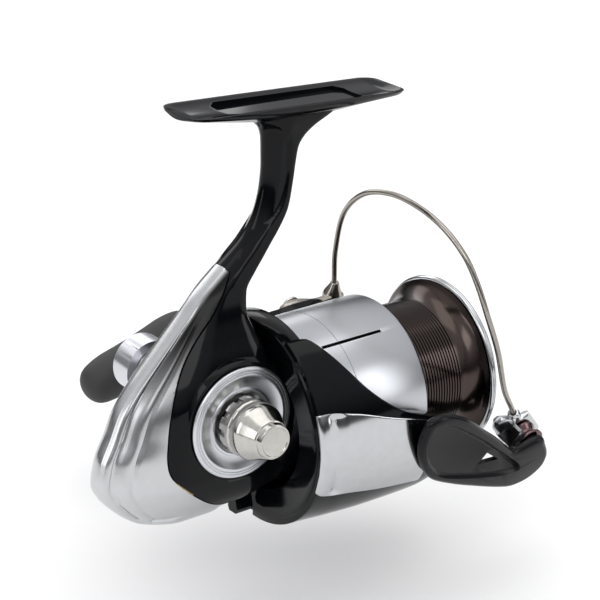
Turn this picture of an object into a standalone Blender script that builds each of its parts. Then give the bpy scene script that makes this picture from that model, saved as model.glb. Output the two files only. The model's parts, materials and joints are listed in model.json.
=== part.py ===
"""Spinning reel with its foot, gearcase, rotor, bail, spool, handle and inner drive, one object per piece.

Lengths below are millimetres in the shaft frame: x runs forward along the main shaft, y towards the handle,
z up to the foot, and y = z = 0 is the shaft axis. The parent empty moves the foot seat to the world origin.
"""

import math

import bmesh
import bpy
from mathutils import Matrix, Vector

MM = 0.001
SEG = 24
GAP = 0.3
SMOOTH_ANGLE = 35

# Foot: a plate that slopes down towards the spool, with a long pocket in its saddle.
FOOT_REAR, FOOT_FRONT, FOOT_HALF = -49.6, 14.2, 8.03
FOOT_Z, FOOT_SLOPE = 80.5, -0.06327
POCKET_X, POCKET_REACH, POCKET_HALF, POCKET_DEPTH = -17.5, 20.0, 5.7, 1.6
SADDLE = 1.0

# Drive axis, across the gearcase, and the ring of the side plate.
DRIVE_X, DRIVE_Z = -40.1, 6.4
PLATE_R, PLATE_BORE, CASE_HALF = 14.43, 7.7, 11.7
GEAR_R, GEAR_TEETH = 12.2, 47
PINION_R, PINION_TEETH = 3.1, 9
SHAFT_R, TUBE_R = 2.0, 3.5

# Oscillation gear and slider.
OSC_X, OSC_Z, OSC_R, OSC_TEETH = -50.0, -3.5, 8.4, 27
OSC_PINION_R, OSC_PINION_TEETH, CRANK = 5.2, 16, 5.0

# Rotor, arms and bail.
CUP_R, CUP_REAR, CUP_FRONT, CUP_WEB, NOSE_R = 27.0, -28.0, -22.2, -26.2, 20.4
ARM_TILT = math.radians(18)
PIVOT_X, PIVOT_V = 7.5, 0.5
WIRE_R = 0.75
ROLLER_R = 4.2

# Spool.
LIP_X, LIP_R, SKIRT_REAR, SKIRT_FRONT, DRUM_R = 32.3, 23.0, -21.0, 10.0, 18.2

# Handle and knob.
KNOB_X, KNOB_Z, BAR_Y, BAR_HALF, BAR_R = -12.0, -15.0, 77.6, 19.6, 6.4
BAR_DIR = Vector((0.951, 0.0, 0.309)).normalized()

X, Y, Z = Vector((1, 0, 0)), Vector((0, 1, 0)), Vector((0, 0, 1))
ARM_A = Vector((0, math.cos(ARM_TILT), math.sin(ARM_TILT)))
ARM_V = Vector((0, -math.sin(ARM_TILT), math.cos(ARM_TILT)))
DRIVE = Vector((DRIVE_X, 0, DRIVE_Z))
PIVOT = PIVOT_X * X + PIVOT_V * ARM_V
SEAT = Vector((POCKET_X, 0, FOOT_Z + FOOT_SLOPE * POCKET_X - POCKET_DEPTH))

for old in list(bpy.data.objects):
    bpy.data.objects.remove(old, do_unlink=True)


def collection(name, hidden=False):
    made = bpy.data.collections.new(name)
    bpy.context.scene.collection.children.link(made)
    made.hide_render = hidden
    return made


PARTS = collection("spinning_reel")
CUTTERS = collection("cutters", hidden=True)


def empty(name, at, parent=None):
    made = bpy.data.objects.new(name, None)
    made.empty_display_size = 0.01
    made.location = (Vector(at) - (Vector(parent["at"]) if parent else Vector())) * MM
    made["at"] = tuple(at)
    made.parent = parent
    PARTS.objects.link(made)
    return made


ROOT = empty("reel_frame", (0, 0, 0))
ROOT.location = -SEAT * MM


def surface(name, color, metallic, roughness):
    made = bpy.data.materials.new(name)
    made.use_nodes = True
    shader = made.node_tree.nodes["Principled BSDF"]
    shader.inputs["Base Color"].default_value = (*color, 1)
    shader.inputs["Metallic"].default_value = metallic
    shader.inputs["Roughness"].default_value = roughness
    made.diffuse_color = (*color, 1)
    return made


FINISH = {
    "black": ((0.012, 0.013, 0.018), 0.3, 0.12),
    "chrome": ((0.82, 0.83, 0.84), 1.0, 0.08),
    "satin": ((0.68, 0.69, 0.71), 1.0, 0.3),
    "steel": ((0.55, 0.56, 0.58), 1.0, 0.25),
    "dark": ((0.07, 0.07, 0.075), 0.6, 0.35),
    "brown": ((0.16, 0.13, 0.12), 1.0, 0.3),
    "brass": ((0.62, 0.45, 0.2), 1.0, 0.3),
    "titan": ((0.5, 0.46, 0.43), 1.0, 0.3),
    "rubber": ((0.05, 0.05, 0.052), 0.0, 0.75),
    "carbon": ((0.05, 0.05, 0.055), 0.1, 0.6),
}


def to_object(bm, name, at, parent, target):
    bm.normal_update()
    bmesh.ops.recalc_face_normals(bm, faces=bm.faces[:])
    bmesh.ops.translate(bm, vec=-Vector(at), verts=bm.verts[:])
    bmesh.ops.scale(bm, vec=(MM, MM, MM), verts=bm.verts[:])
    mesh = bpy.data.meshes.new(name)
    bm.to_mesh(mesh)
    bm.free()
    mesh.shade_smooth()
    mesh.set_sharp_from_angle(angle=math.radians(SMOOTH_ANGLE))
    made = bpy.data.objects.new(name, mesh)
    made.parent = parent
    made.location = (Vector(at) - Vector(parent["at"])) * MM
    target.objects.link(made)
    return made


def part(bm, name, body, finish, at=None):
    made = to_object(bm, name, body["at"] if at is None else at, body, PARTS)
    made.data.materials.append(surface(name, *FINISH[finish]))
    return made


def combine(obj, bm, operation="DIFFERENCE"):
    """Cut the shape from the object, or join it on."""
    helper = to_object(bm, f"{obj.name}_tool_{len(obj.modifiers)}", (0, 0, 0), ROOT, CUTTERS)
    helper.hide_render = True
    helper.display_type = "WIRE"
    modifier = obj.modifiers.new(helper.name, "BOOLEAN")
    modifier.operation = operation
    modifier.solver = "EXACT"
    modifier.object = helper


def frame_of(axis):
    axis = Vector(axis).normalized()
    side = axis.cross(Z) if abs(axis.z) < 0.9 else axis.cross(X)
    side.normalize()
    return axis, side, axis.cross(side)


def evaluated_shape(obj, basis=Matrix.Identity(4)):
    """The object's shape with its modifiers applied, moved by the basis; the object itself is removed."""
    PARTS.objects.link(obj)
    graph = bpy.context.evaluated_depsgraph_get()
    graph.update()
    mesh = bpy.data.meshes.new_from_object(obj.evaluated_get(graph))
    bm = bmesh.new()
    bm.from_mesh(mesh)
    bmesh.ops.remove_doubles(bm, verts=bm.verts[:], dist=0.0001)
    bm.transform(basis)
    bpy.data.objects.remove(obj, do_unlink=True)
    bpy.data.meshes.remove(mesh)
    return bm


def standing(at, axis):
    """The basis that stands a shape's own z axis on the given axis, at the given place."""
    axis, side, up = frame_of(axis)
    return Matrix.Translation(Vector(at)) @ Matrix((side, up, axis)).transposed().to_4x4()


def lathe(profile, at=(0, 0, 0), axis=X, seg=SEG):
    """Turn a closed outline of (distance along the axis, radius) about the axis with a Screw modifier."""
    mesh = bpy.data.meshes.new("outline")
    count = len(profile)
    edges = [(i, (i + 1) % count) for i in range(count)]
    edges = [(i, j) for i, j in edges if profile[i][1] > 0 or profile[j][1] > 0]
    mesh.from_pydata([(radius, 0, along) for along, radius in profile], edges, [])
    obj = bpy.data.objects.new("outline", mesh)
    turn = obj.modifiers.new("turn", "SCREW")
    turn.steps = turn.render_steps = seg
    turn.use_merge_vertices = True
    turn.merge_threshold = 0.0001
    return evaluated_shape(obj, standing(at, axis))


def rod(radius, start, end, at=(0, 0, 0), axis=X, seg=SEG):
    bm = bmesh.new()
    middle = Matrix.Translation((0, 0, (start + end) / 2))
    bmesh.ops.create_cone(bm, cap_ends=True, segments=seg, radius1=radius, radius2=radius, depth=end - start,
                          matrix=standing(at, axis) @ middle)
    return bm


def ring(inner, outer, start, end, at=(0, 0, 0), axis=X, seg=SEG):
    return lathe([(start, inner), (start, outer), (end, outer), (end, inner)], at, axis, seg)


def block(x, y, z):
    bm = bmesh.new()
    centre = Vector([(low + high) / 2 for low, high in (x, y, z)])
    size = Matrix.Diagonal([high - low for low, high in (x, y, z)]).to_4x4()
    bmesh.ops.create_cube(bm, size=1, matrix=Matrix.Translation(centre) @ size)
    return bm


def prism(outline, origin, first, second, normal, low, high):
    """Extrude a flat outline, given on the first and second direction, between two heights on the normal."""
    curve = bpy.data.curves.new("outline", "CURVE")
    curve.dimensions = "2D"
    curve.fill_mode = "BOTH"
    curve.extrude = (high - low) / 2
    spline = curve.splines.new("POLY")
    spline.points.add(len(outline) - 1)
    for point, (p, q) in zip(spline.points, outline):
        point.co = (p, q, 0, 1)
    spline.use_cyclic_u = True
    turned = Matrix((first, second, normal)).transposed().to_4x4()
    middle = Vector(origin) + (low + high) / 2 * Vector(normal)
    return evaluated_shape(bpy.data.objects.new("outline", curve), Matrix.Translation(middle) @ turned)


def tube(path, radius):
    """A round wire along a path."""
    curve = bpy.data.curves.new("route", "CURVE")
    curve.dimensions = "3D"
    curve.bevel_depth = radius
    curve.bevel_resolution = 2
    curve.use_fill_caps = True
    spline = curve.splines.new("POLY")
    spline.points.add(len(path) - 1)
    for point, place in zip(spline.points, path):
        point.co = (*place, 1)
    return evaluated_shape(bpy.data.objects.new("route", curve))


def skin(bm, rings):
    """Quads between neighbouring rings that have the same number of points."""
    for one, two in rings:
        for k in range(len(one)):
            n = (k + 1) % len(one)
            bm.faces.new((one[k], one[n], two[n], two[k]))


def loft(sections):
    """Skin over unlike sections that have the same number of points, closed at both ends."""
    bm = bmesh.new()
    rings = [[bm.verts.new(p) for p in section] for section in sections]
    skin(bm, list(zip(rings, rings[1:])))
    bm.faces.new(rings[0])
    bm.faces.new(rings[-1])
    return bm


def toothed(teeth, root, tip, bore, start, end, at, axis):
    """A gear ring with pointed teeth."""
    axis, side, up = frame_of(axis)
    bm = bmesh.new()
    loops = []
    for height in (start, end):
        for radii in ((root, tip), (bore, bore)):
            loop = []
            for k in range(2 * teeth):
                turn = math.pi * k / teeth
                spoke = math.cos(turn) * side + math.sin(turn) * up
                loop.append(bm.verts.new(Vector(at) + height * axis + radii[k % 2] * spoke))
            loops.append(loop)
    skin(bm, [(loops[0], loops[1]), (loops[1], loops[3]), (loops[3], loops[2]), (loops[2], loops[0])])
    return bm


def smooth_path(points, steps):
    """A curve through the points."""
    points = [Vector(p) for p in points]
    points = [2 * points[0] - points[1]] + points + [2 * points[-1] - points[-2]]
    path = []
    for a, b, c, d in zip(points, points[1:], points[2:], points[3:]):
        for k in range(steps):
            t = k / steps
            bend = (2 * a - 5 * b + 4 * c - d) * t**2 + (3 * b - a - 3 * c + d) * t**3
            path.append(0.5 * (2 * b + (c - a) * t + bend))
    return path + [points[-2]]


def sweep(path, widths, heights, wide, seg):
    """Oval sections along a path; wide is the direction that the width is measured near."""
    sections = []
    for i, centre in enumerate(path):
        along = (path[min(i + 1, len(path) - 1)] - path[max(i - 1, 0)]).normalized()
        first = (wide - wide.dot(along) * along).normalized()
        second = along.cross(first)
        share = i / (len(path) - 1)
        w = widths[0] + (widths[1] - widths[0]) * share
        h = heights[0] + (heights[1] - heights[0]) * share
        turn = [math.tau * k / seg for k in range(seg)]
        sections.append([centre + w * math.cos(t) * first + h * math.sin(t) * second for t in turn])
    return loft(sections)


def panel(stations, steps, turned=0.0):
    """A curved plate about the shaft.

    Each station is (x, upper angle, lower angle, inner radius, outer radius), in degrees from -y towards +z.
    """
    sections = []
    for x, high, low, inner, outer in stations:
        section = []
        for radius, start, end in ((outer, low, high), (inner, high, low)):
            for k in range(steps + 1):
                t = math.radians(start + (end - start) * k / steps + turned)
                section.append(Vector((x, -radius * math.cos(t), radius * math.sin(t))))
        sections.append(section)
    return loft(sections)


# ---- Gearcase and stem ------------------------------------------------------------------------------------
# Level sections: height, rear end, front end, half width, half width of the tail ridge.
CASE = [
    (-20.6, -57.0, -44.5, 3.0, 1.8),
    (-19.5, -61.0, -42.6, 5.4, 2.6),
    (-17.5, -65.5, -41.0, 7.4, 3.2),
    (-16.4, -67.0, -30.0, 8.2, 3.4),
    (-14.0, -69.8, -28.4, 9.6, 3.7),
    (-10.0, -73.2, -28.2, 10.9, 3.9),
    (-6.0, -75.0, -28.2, 11.6, 4.0),
    (0.0, -73.9, -28.2, CASE_HALF, 4.0),
    (6.0, -71.0, -28.2, CASE_HALF, 3.9),
    (12.0, -68.2, -28.2, CASE_HALF, 3.8),
    (17.0, -64.3, -28.4, 11.2, 3.6),
    (22.0, -59.4, -29.4, 10.0, 3.4),
    (27.0, -54.3, -31.4, 8.1, 3.1),
    (32.0, -49.3, -33.0, 6.4, 2.8),
    (37.0, -44.6, -32.6, 5.5, 2.5),
    (41.0, -39.8, -29.9, 5.0, 2.3),
    (44.5, -35.4, -27.2, 4.8, 2.2),
    (47.5, -31.9, -24.9, 4.6, 2.1),
    (51.0, -29.0, -22.2, 4.5, 2.0),
    (55.5, -26.8, -19.6, 4.4, 2.0),
    (61.4, -25.4, -18.2, 4.3, 2.0),
    (66.0, -25.0, -17.4, 4.3, 2.0),
    (70.5, -25.0, -16.4, 4.4, 2.1),
    (73.0, -25.1, -14.6, 4.7, 2.2),
    (75.4, -25.8, -11.2, 5.2, 2.4),
    (77.2, -27.2, -7.2, 5.6, 2.8),
    (79.0, -28.6, -4.0, 5.8, 3.0),
]
CAVITY = [
    (-14.8, -66.0, -30.4, 7.6, 2.4),
    (-10.0, -70.6, -29.4, 9.3, 2.6),
    (-6.0, -72.2, -29.4, 10.0, 2.7),
    (0.0, -71.0, -29.4, 10.1, 2.7),
    (12.0, -65.2, -29.4, 10.1, 2.6),
    (17.0, -61.3, -29.8, 9.6, 2.4),
    (22.0, -56.6, -31.4, 8.4, 2.2),
    (26.0, -52.5, -33.4, 6.8, 2.0),
    (29.0, -49.0, -35.0, 5.4, 1.8),
]
# The joint between gearcase and rear cover, seen from the side, top to bottom.
SEAM = [
    (-37.2, 42.0),
    (-38.6, 40.2),
    (-43.7, 33.4),
    (-48.7, 28.4),
    (-53.1, 23.3),
    (-56.3, 18.2),
    (-58.9, 11.9),
    (-60.2, 5.4),
    (-60.8, 0.6),
    (-59.7, -3.9),
    (-54.8, -9.1),
    (-48.3, -14.4),
    (-43.5, -16.7),
    (-38.0, -17.1),
]
FRONT_HALF = [(0.09, 0.96), (0.2, 1.0), (0.4, 1.0), (0.6, 1.0)]


def level_section(z, rear, front, half, tail, corners=(0.55, 0.82)):
    side = [(0.0, corners[0]), (0.03, corners[1])] + FRONT_HALF
    for share in (0.68, 0.76, 0.84, 0.9, 0.95):
        fall = ((share - 0.6) / 0.35) ** 1.7
        side.append((share, 1 - (1 - tail / half) * fall))
    side += [(0.985, 0.72 * tail / half), (1.0, 0.35 * tail / half)]
    near = [Vector((front + (rear - front) * t, -half * w, z)) for t, w in side]
    far = [Vector((p.x, -p.y, p.z)) for p in reversed(near)]
    return near + far


def seam_cutter(offset):
    """Everything behind the seam, moved towards the gearcase by the offset."""
    line = []
    for i, (x, z) in enumerate(SEAM):
        (x0, z0), (x1, z1) = SEAM[max(i - 1, 0)], SEAM[min(i + 1, len(SEAM) - 1)]
        reach = math.hypot(x1 - x0, z1 - z0)
        line.append((x - (z1 - z0) / reach * offset, z + (x1 - x0) / reach * offset))
    outline = [(-38.4, 45.5)] + line + [(line[-1][0], -30.0), (-90.0, -30.0), (-90.0, 45.5)]
    return prism(outline, (0, 0, 0), X, Z, -Y, -20, 20)


def foot_section(x):
    edge = FOOT_Z + FOOT_SLOPE * x
    from_end = min(x - FOOT_REAR, FOOT_FRONT - x)
    corner = 4.6
    half = FOOT_HALF - (corner - math.sqrt(max(corner**2 - max(corner - from_end, 0) ** 2, 0))) * 0.75
    middle = 1 - abs((x + 17.7) / 32.0) ** 1.6
    thick = 1.5 + 3.6 * max(middle, 0)
    top = [(1, 0), (0.9, 0), (0.72, -0.5), (0.4, -0.87), (0.0, -1.0)]
    top += [(-s, d) for s, d in reversed(top[:-1])]
    under = [(-0.97, 0.28), (-0.72, 0.62), (-0.4, 0.9), (0.0, 1.0), (0.4, 0.9), (0.72, 0.62), (0.97, 0.28)]
    sag = SADDLE if from_end > 3 else SADDLE * from_end / 3
    section = [Vector((x, half * s, edge + d * sag)) for s, d in top]
    return section + [Vector((x, half * s, edge - max(d * thick, 0.45))) for s, d in under]


frame = empty("frame", (0, 0, 0), ROOT)
body = part(loft([level_section(*row) for row in CASE]), "body_frame", frame, "black")
ends = [0.0, 0.5, 1.4, 2.8, 4.6, 9.0]
stations = [FOOT_REAR + e for e in ends] + [-36, -29, -22, -14, -6, 0]
stations += [FOOT_FRONT - e for e in reversed(ends)]
combine(body, loft([foot_section(x) for x in stations]), "UNION")
combine(body, lathe([(-31, 0), (-31, 17), (-24, 17), (-23, 16.2), (-23, 0)]), "UNION")
combine(body, lathe([(6, 0), (6, 16.6), (10.6, 16.2), (CASE_HALF, 15.3), (CASE_HALF, 0)], DRIVE, -Y),
        "UNION")
combine(body, block((-37.0, -35.2), (-1.9, 1.9), (-20.1, -15.5)), "UNION")
combine(body, loft([level_section(*row, (0.76, 0.9)) for row in CAVITY]))
combine(body, rod(14.2, -29.4, -25.0))
combine(body, ring(18.5, 30, CUP_REAR, -20))
combine(body, rod(6.0, -27, -20))
combine(body, rod(13.4, 8, 14, DRIVE, -Y))
combine(body, rod(PLATE_R + 0.5, CASE_HALF, 30, DRIVE, -Y))
combine(body, rod(6.1, 8, 14, DRIVE, Y))
combine(body, rod(0.9, -35.9, -34, (0, 0, -18.5), X, 12))
combine(body, seam_cutter(GAP))
slope = Vector((1, 0, FOOT_SLOPE)).normalized()
lift = slope.cross(Y)
reach, half = POCKET_REACH, POCKET_HALF
pocket = [(-reach, -half + 2), (-reach + 2, -half), (reach - 2, -half), (reach, -half + 2),
          (reach, half - 2), (reach - 2, half), (-reach + 2, half), (-reach, half - 2)]
combine(body, prism(pocket, SEAT, slope, Y, lift, 0, 6))

cover = part(loft([level_section(*row) for row in CASE if row[0] < 45]), "rear_cover", frame, "chrome")
keep = seam_cutter(0.0)
combine(cover, keep, "INTERSECT")
combine(cover, loft([level_section(*row, (0.76, 0.9)) for row in CAVITY]))
for number, x in enumerate((-47.6, -54.4)):
    combine(cover, rod(1.9, -22, -17.6, (x, 0, 0), Z, 16))
    screw = lathe([(-20.3, 0), (-20.3, 1.3), (-20.0, 1.6), (-18.6, 1.6), (-18.6, 0.8), (-18.0, 0.8),
                   (-18.0, 0)],
                  (x, 0, 0), Z, 16)
    part(screw, f"cover_screw_{number + 1}", frame, "steel", (x, 0, -19))

plate = [(9.6, 6.1), (9.6, 13.1), (12.0, 13.1), (12.0, PLATE_R), (12.5, PLATE_R), (12.8, 14.1), (12.8, 8.2),
         (12.3, PLATE_BORE), (11.7, PLATE_BORE), (11.7, 6.1)]
part(lathe(plate, DRIVE, -Y, 32), "side_plate", frame, "satin", DRIVE)
part(ring(3.8, 5.8, 9.8, 11.4, DRIVE, -Y, 18), "drive_bearing_near", frame, "steel", DRIVE)
part(ring(3.8, 5.8, 9.8, 11.4, DRIVE, Y, 18), "drive_bearing_far", frame, "steel", DRIVE)
part(lathe([(12.0, 3.9), (12.0, 7.6), (12.8, 7.6), (13.3, 7.0), (13.3, 3.9)], DRIVE, Y, 24), "shaft_collar",
     frame, "satin", DRIVE)
part(ring(3.4, 5.7, -24.8, -23.1, seg=24), "pinion_bearing", frame, "steel")
part(lathe([(-22.7, 8.0), (-22.7, 14.5), (-15.5, 14.5), (-14.5, 13.4), (-14.5, 8.0)], seg=24),
     "clutch_housing", frame, "dark")
part(rod(0.8, -64, -29.7, (0, 0, -9.5), X, 12), "slider_guide", frame, "steel", (0, 0, -9.5))
part(rod(1.4, 6.5, 9.3, (OSC_X, 0, OSC_Z), -Y, 12), "gear_axle", frame, "steel", (OSC_X, 0, OSC_Z))

# ---- Anti-reverse lever -----------------------------------------------------------------------------------
lever_at = (-32.0, 0, -18.5)
lever_body = empty("reverse_lever_joint", lever_at, ROOT)
tongue = [(-1.15, 0.3), (-0.8, 0.85), (0, 1.15), (0.8, 0.85), (1.15, 0.3), (1.3, -2.0), (2.0, -5.2),
          (1.4, -6.4), (-1.4, -6.4), (-2.0, -5.2), (-1.3, -2.0)]
stop = part(prism(tongue, (0, 0, -18.5), Y, Z, X, -34.6, -29.6), "reverse_lever", lever_body, "black",
            lever_at)
combine(stop, rod(0.6, -35.7, -33, (0, 0, -18.5), X, 12), "UNION")

# ---- Handle, drive gear and screw cap ---------------------------------------------------------------------
handle = empty("handle_joint", DRIVE, ROOT)
hub = [(-11.9, 2.7), (-11.9, TUBE_R), (13.4, TUBE_R), (13.4, 2.7)]
gear = part(lathe(hub, DRIVE, Y, 24), "drive_gear", handle, "brass")
combine(gear, toothed(GEAR_TEETH, GEAR_R - 1.1, GEAR_R, 3.2, 3.6, 6.8, DRIVE, Y), "UNION")
part(toothed(OSC_PINION_TEETH, 4.5, OSC_PINION_R, 3.8, 6.8, 8.6, DRIVE, -Y), "oscillation_pinion", handle,
     "brass")
cap = [(8.4, 0), (8.4, 2.4), (12.3, 2.4), (12.3, 5.9), (13.0, 7.0), (16.6, 7.0), (17.2, 6.7), (20.6, 6.5),
       (21.6, 6.1), (24.4, 4.9), (25.2, 4.6), (26.2, 4.4), (26.2, 0)]
part(lathe(cap, DRIVE, -Y, 24), "screw_cap", handle, "steel")
shank = [(2.0, 0), (2.0, 2.4), (13.8, 2.4), (13.8, 4.6), (15.0, 5.6), (20.0, 5.7), (23.0, 5.0), (34.6, 4.8),
         (34.6, 6.0), (36.0, 6.0), (36.8, 5.0), (36.8, 0)]
part(lathe(shank, DRIVE, Y, 24), "handle_shank", handle, "satin")
knob_at = Vector((KNOB_X, 0, KNOB_Z))
arm = part(ring(5.1, 7.6, 27.5, 34.2, DRIVE, Y, 24), "handle_arm", handle, "satin")
start = DRIVE + 30.8 * Y
finish = knob_at + 67.6 * Y
across = (knob_at - DRIVE).normalized()
route = smooth_path([start + 5.4 * across, start + 10 * across + 3 * Y, start + 22 * across + 19 * Y,
                     finish - 5 * across - 4.5 * Y, finish - 2.4 * across], 5)
combine(arm, sweep(route, (4.3, 3.2), (2.4, 1.9), across.cross(Y), 14), "UNION")
boss = [(64.5, 0), (64.7, 2.0), (65.6, 3.9), (67.2, 5.1), (69.0, 5.7), (70.1, 5.8), (70.1, 0)]
combine(arm, lathe(boss, knob_at, Y, 24), "UNION")
combine(arm, rod(2.2, 65.8, 78, knob_at, Y, 16))
combine(arm, rod(5.1, 20, 40, DRIVE, Y, 24))
part(rod(1.9, 66.1, 81.8, knob_at, Y, 16), "knob_pin", handle, "steel", knob_at)

knob = empty("knob_joint", knob_at, ROOT)
dome = [(70.4, 2.3), (70.4, 3.4), (71.0, 4.7), (72.1, 5.6), (73.4, 6.0), (75.0, 6.0), (75.0, 2.3)]
part(lathe(dome, knob_at, Y, 24), "knob_ferrule", knob, "satin")
bar_shape = [(-1, 0), (-0.985, 0.35), (-0.92, 0.7), (-0.78, 0.93), (-0.5, 1.04), (0, 0.98), (0.5, 1.04),
             (0.78, 0.93), (0.92, 0.7), (0.985, 0.35), (1, 0)]
bar = [(s * BAR_HALF, r * BAR_R) for s, r in bar_shape]
grip = part(lathe(bar, knob_at + BAR_Y * Y, BAR_DIR, 20), "knob_grip", knob, "rubber")
combine(grip, lathe([(73.0, 0), (73.0, 7.0), (76.0, 7.4), (80, 6.0), (80, 0)], knob_at, Y, 24), "UNION")
combine(grip, rod(6.4, 66, 75.3, knob_at, Y, 24))
combine(grip, rod(4.1, 70, 79.2, knob_at, Y, 20))
combine(grip, rod(2.3, 75, 82.2, knob_at, Y, 16))
part(ring(2.2, 3.8, 75.7, 78.7, knob_at, Y, 20), "knob_bearing", knob, "steel")

# ---- Oscillation gear and slider --------------------------------------------------------------------------
osc_at = Vector((OSC_X, 0, OSC_Z))
osc = empty("oscillation_joint", osc_at, ROOT)
wheel = part(toothed(OSC_TEETH, OSC_R - 0.8, OSC_R, 1.7, 6.9, 8.5, osc_at, -Y), "oscillation_gear", osc,
             "brass")
combine(wheel, rod(1.1, 6.2, 7.5, osc_at - CRANK * X, -Y, 12), "UNION")

line = empty("main_shaft_joint", (0, 0, 0), ROOT)
part(lathe([(-58, 0), (-58, 1.6), (-57.4, SHAFT_R), (35.4, SHAFT_R), (36, 1.6), (36, 0)], seg=20),
     "main_shaft", line, "steel")
slider = part(block((-57.4, -51.5), (-5.9, 3.1), (-11.6, 3.2)), "slider_block", line, "brass")
combine(slider, rod(2.3, -60, -50, seg=20))
combine(slider, rod(1.1, -60, -50, (0, 0, -9.5), X, 12))
combine(slider, block((-56.3, -53.7), (-7.0, -4.3), (-9.5, 1.1)))

# ---- Rotor ------------------------------------------------------------------------------------------------
rotor = empty("rotor_joint", (0, 0, 0), ROOT)
cup = [(CUP_REAR + 0.3, 19.0), (CUP_REAR + 0.3, 24.4), (CUP_REAR, 25.3), (CUP_REAR, 26.6),
       (CUP_REAR + 0.6, CUP_R),
       (CUP_FRONT - 0.6, CUP_R), (CUP_FRONT, 26.5), (CUP_FRONT, 24.4), (CUP_WEB, 24.4), (CUP_WEB, NOSE_R),
       (-10.2, NOSE_R), (-9.5, 19.6), (-9.5, 3.4), (-11.5, 3.4), (-11.5, 19.0)]
casing = part(lathe(cup, seg=32), "rotor_casing", rotor, "black")
ARM = [
    (-27.6, 62, -92, 25.5, 28.3),
    (-22.5, 60, -88, 25.5, 28.6),
    (-19.0, 49, -80, 24.8, 28.9),
    (-15.7, 37, -73, 24.4, 29.1),
    (-12.4, 27, -68, 24.4, 29.3),
    (-7.9, 18, -64, 24.4, 29.5),
    (-2.0, 10, -60, 24.4, 29.6),
    (4.0, 5, -56, 24.6, 29.6),
    (9.0, 1, -50, 25.0, 29.6),
    (12.0, -3, -44, 25.4, 29.4),
    (14.0, -9, -36, 25.8, 29.0),
]
FAR_ARM = [
    (-27.6, 55, -50, 25.5, 28.3),
    (-22.5, 52, -46, 25.5, 28.6),
    (-19.0, 45, -34, 24.8, 28.9),
    (-15.7, 37, -31, 24.4, 29.1),
    (-12.4, 30, -29, 24.4, 29.3),
    (-7.9, 24, -28, 24.4, 29.5),
    (-2.0, 16, -28, 24.4, 29.6),
    (4.0, 8, -29, 24.6, 29.6),
    (9.0, 0, -29, 25.0, 29.6),
    (12.0, -6, -28, 25.4, 29.4),
    (14.0, -10, -26, 25.8, 29.0),
]
COVER = [
    (-28.6, 21, -21, 0, 29.2),
    (-27.6, 21, -22, 0, 29.9),
    (-18.0, 17, -26, 0, 30.3),
    (-8.0, 10.5, -30, 0, 30.7),
    (2.0, 4.5, -33, 0, 30.9),
    (4.9, 2.6, -34, 0, 30.9),
    (5.7, 2.0, -34, 0, 30.6),
]

FAR_COVER = [(x, high, -21 - 0.11 * (x + 28.6), inner, outer) for x, high, _, inner, outer in COVER]


def at_station(table, x, column):
    for one, two in zip(table, table[1:]):
        if x <= two[0]:
            share = max(0, (x - one[0]) / (two[0] - one[0]))
            return one[column] + share * (two[column] - one[column])
    return table[-1][column]


for side, turned, arm_table, cover_table in (("near", 0, ARM, COVER), ("far", 180, FAR_ARM, FAR_COVER)):
    combine(casing, panel(arm_table, 9, turned), "UNION")
    rows = [(x, high, low, at_station(arm_table, x, 4) + GAP, outer) for x, high, low, _,
            outer in cover_table]
    part(panel(rows, 6, turned), f"arm_cover_{side}", rotor, "chrome")
for sign in (-1, 1):
    combine(casing, rod(1.9, 22, 34, PIVOT, sign * ARM_A, 16))
part(rod(1.5, 25.8, 32.0, PIVOT, -ARM_A, 20), "pivot_pin_near", rotor, "steel", PIVOT)
pivot = [(25.8, 0), (25.8, 1.5), (33.8, 1.5), (33.8, 2.6), (34.4, 2.6), (34.8, 2.2), (34.8, 0)]
part(lathe(pivot, PIVOT, ARM_A, 20), "pivot_screw_far", rotor, "steel", PIVOT)
gears = part(lathe([(-35.4, 2.4), (-35.4, 2.6), (-26.0, 2.6), (-25.6, 3.1), (-5.4, 3.1), (-4.8, 2.9),
                    (-4.8, 2.4)],
                   seg=18), "pinion", rotor, "brass")
combine(gears, toothed(PINION_TEETH, 2.55, PINION_R, 2.4, -35.2, -26.2, (0, 0, 0), X), "UNION")
part(ring(3.4, 7.6, -21.5, -15.0, seg=24), "clutch_sleeve", rotor, "steel")
part(ring(3.8, 6.6, -9.2, -6.0, seg=6), "rotor_nut", rotor, "steel")

# ---- Bail -------------------------------------------------------------------------------------------------
bail = empty("bail_joint", PIVOT, ROOT)
LEVER = [(0.4, 14.5), (-0.9, 10.2), (-0.6, 5.7), (1.5, 0.2), (5.9, -5.8), (14.2, -10.6), (23.6, -14.8),
         (31.5, -18.0), (37.3, -19.6), (42.9, -18.8), (46.9, -15.8), (47.7, -11.8), (45.9, -7.8),
         (43.2, -4.7),
         (35.0, -6.0), (31.5, -3.9), (27.2, 0.0), (21.6, 4.6), (16.2, 9.1), (11.6, 12.3), (5.5, 15.2)]
lever = part(prism(LEVER, (0, 0, 0), X, ARM_V, ARM_A, -33.6, -31.2), "bail_lever", bail, "dark")
combine(lever, prism([(22.2, -7.0), (24.5, -3.7), (29.5, -7.6)], (0, 0, 0), X, ARM_V, ARM_A, -36, -29))
combine(lever, rod(1.8, 20, 32.3, PIVOT, -ARM_A, 16))

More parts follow.
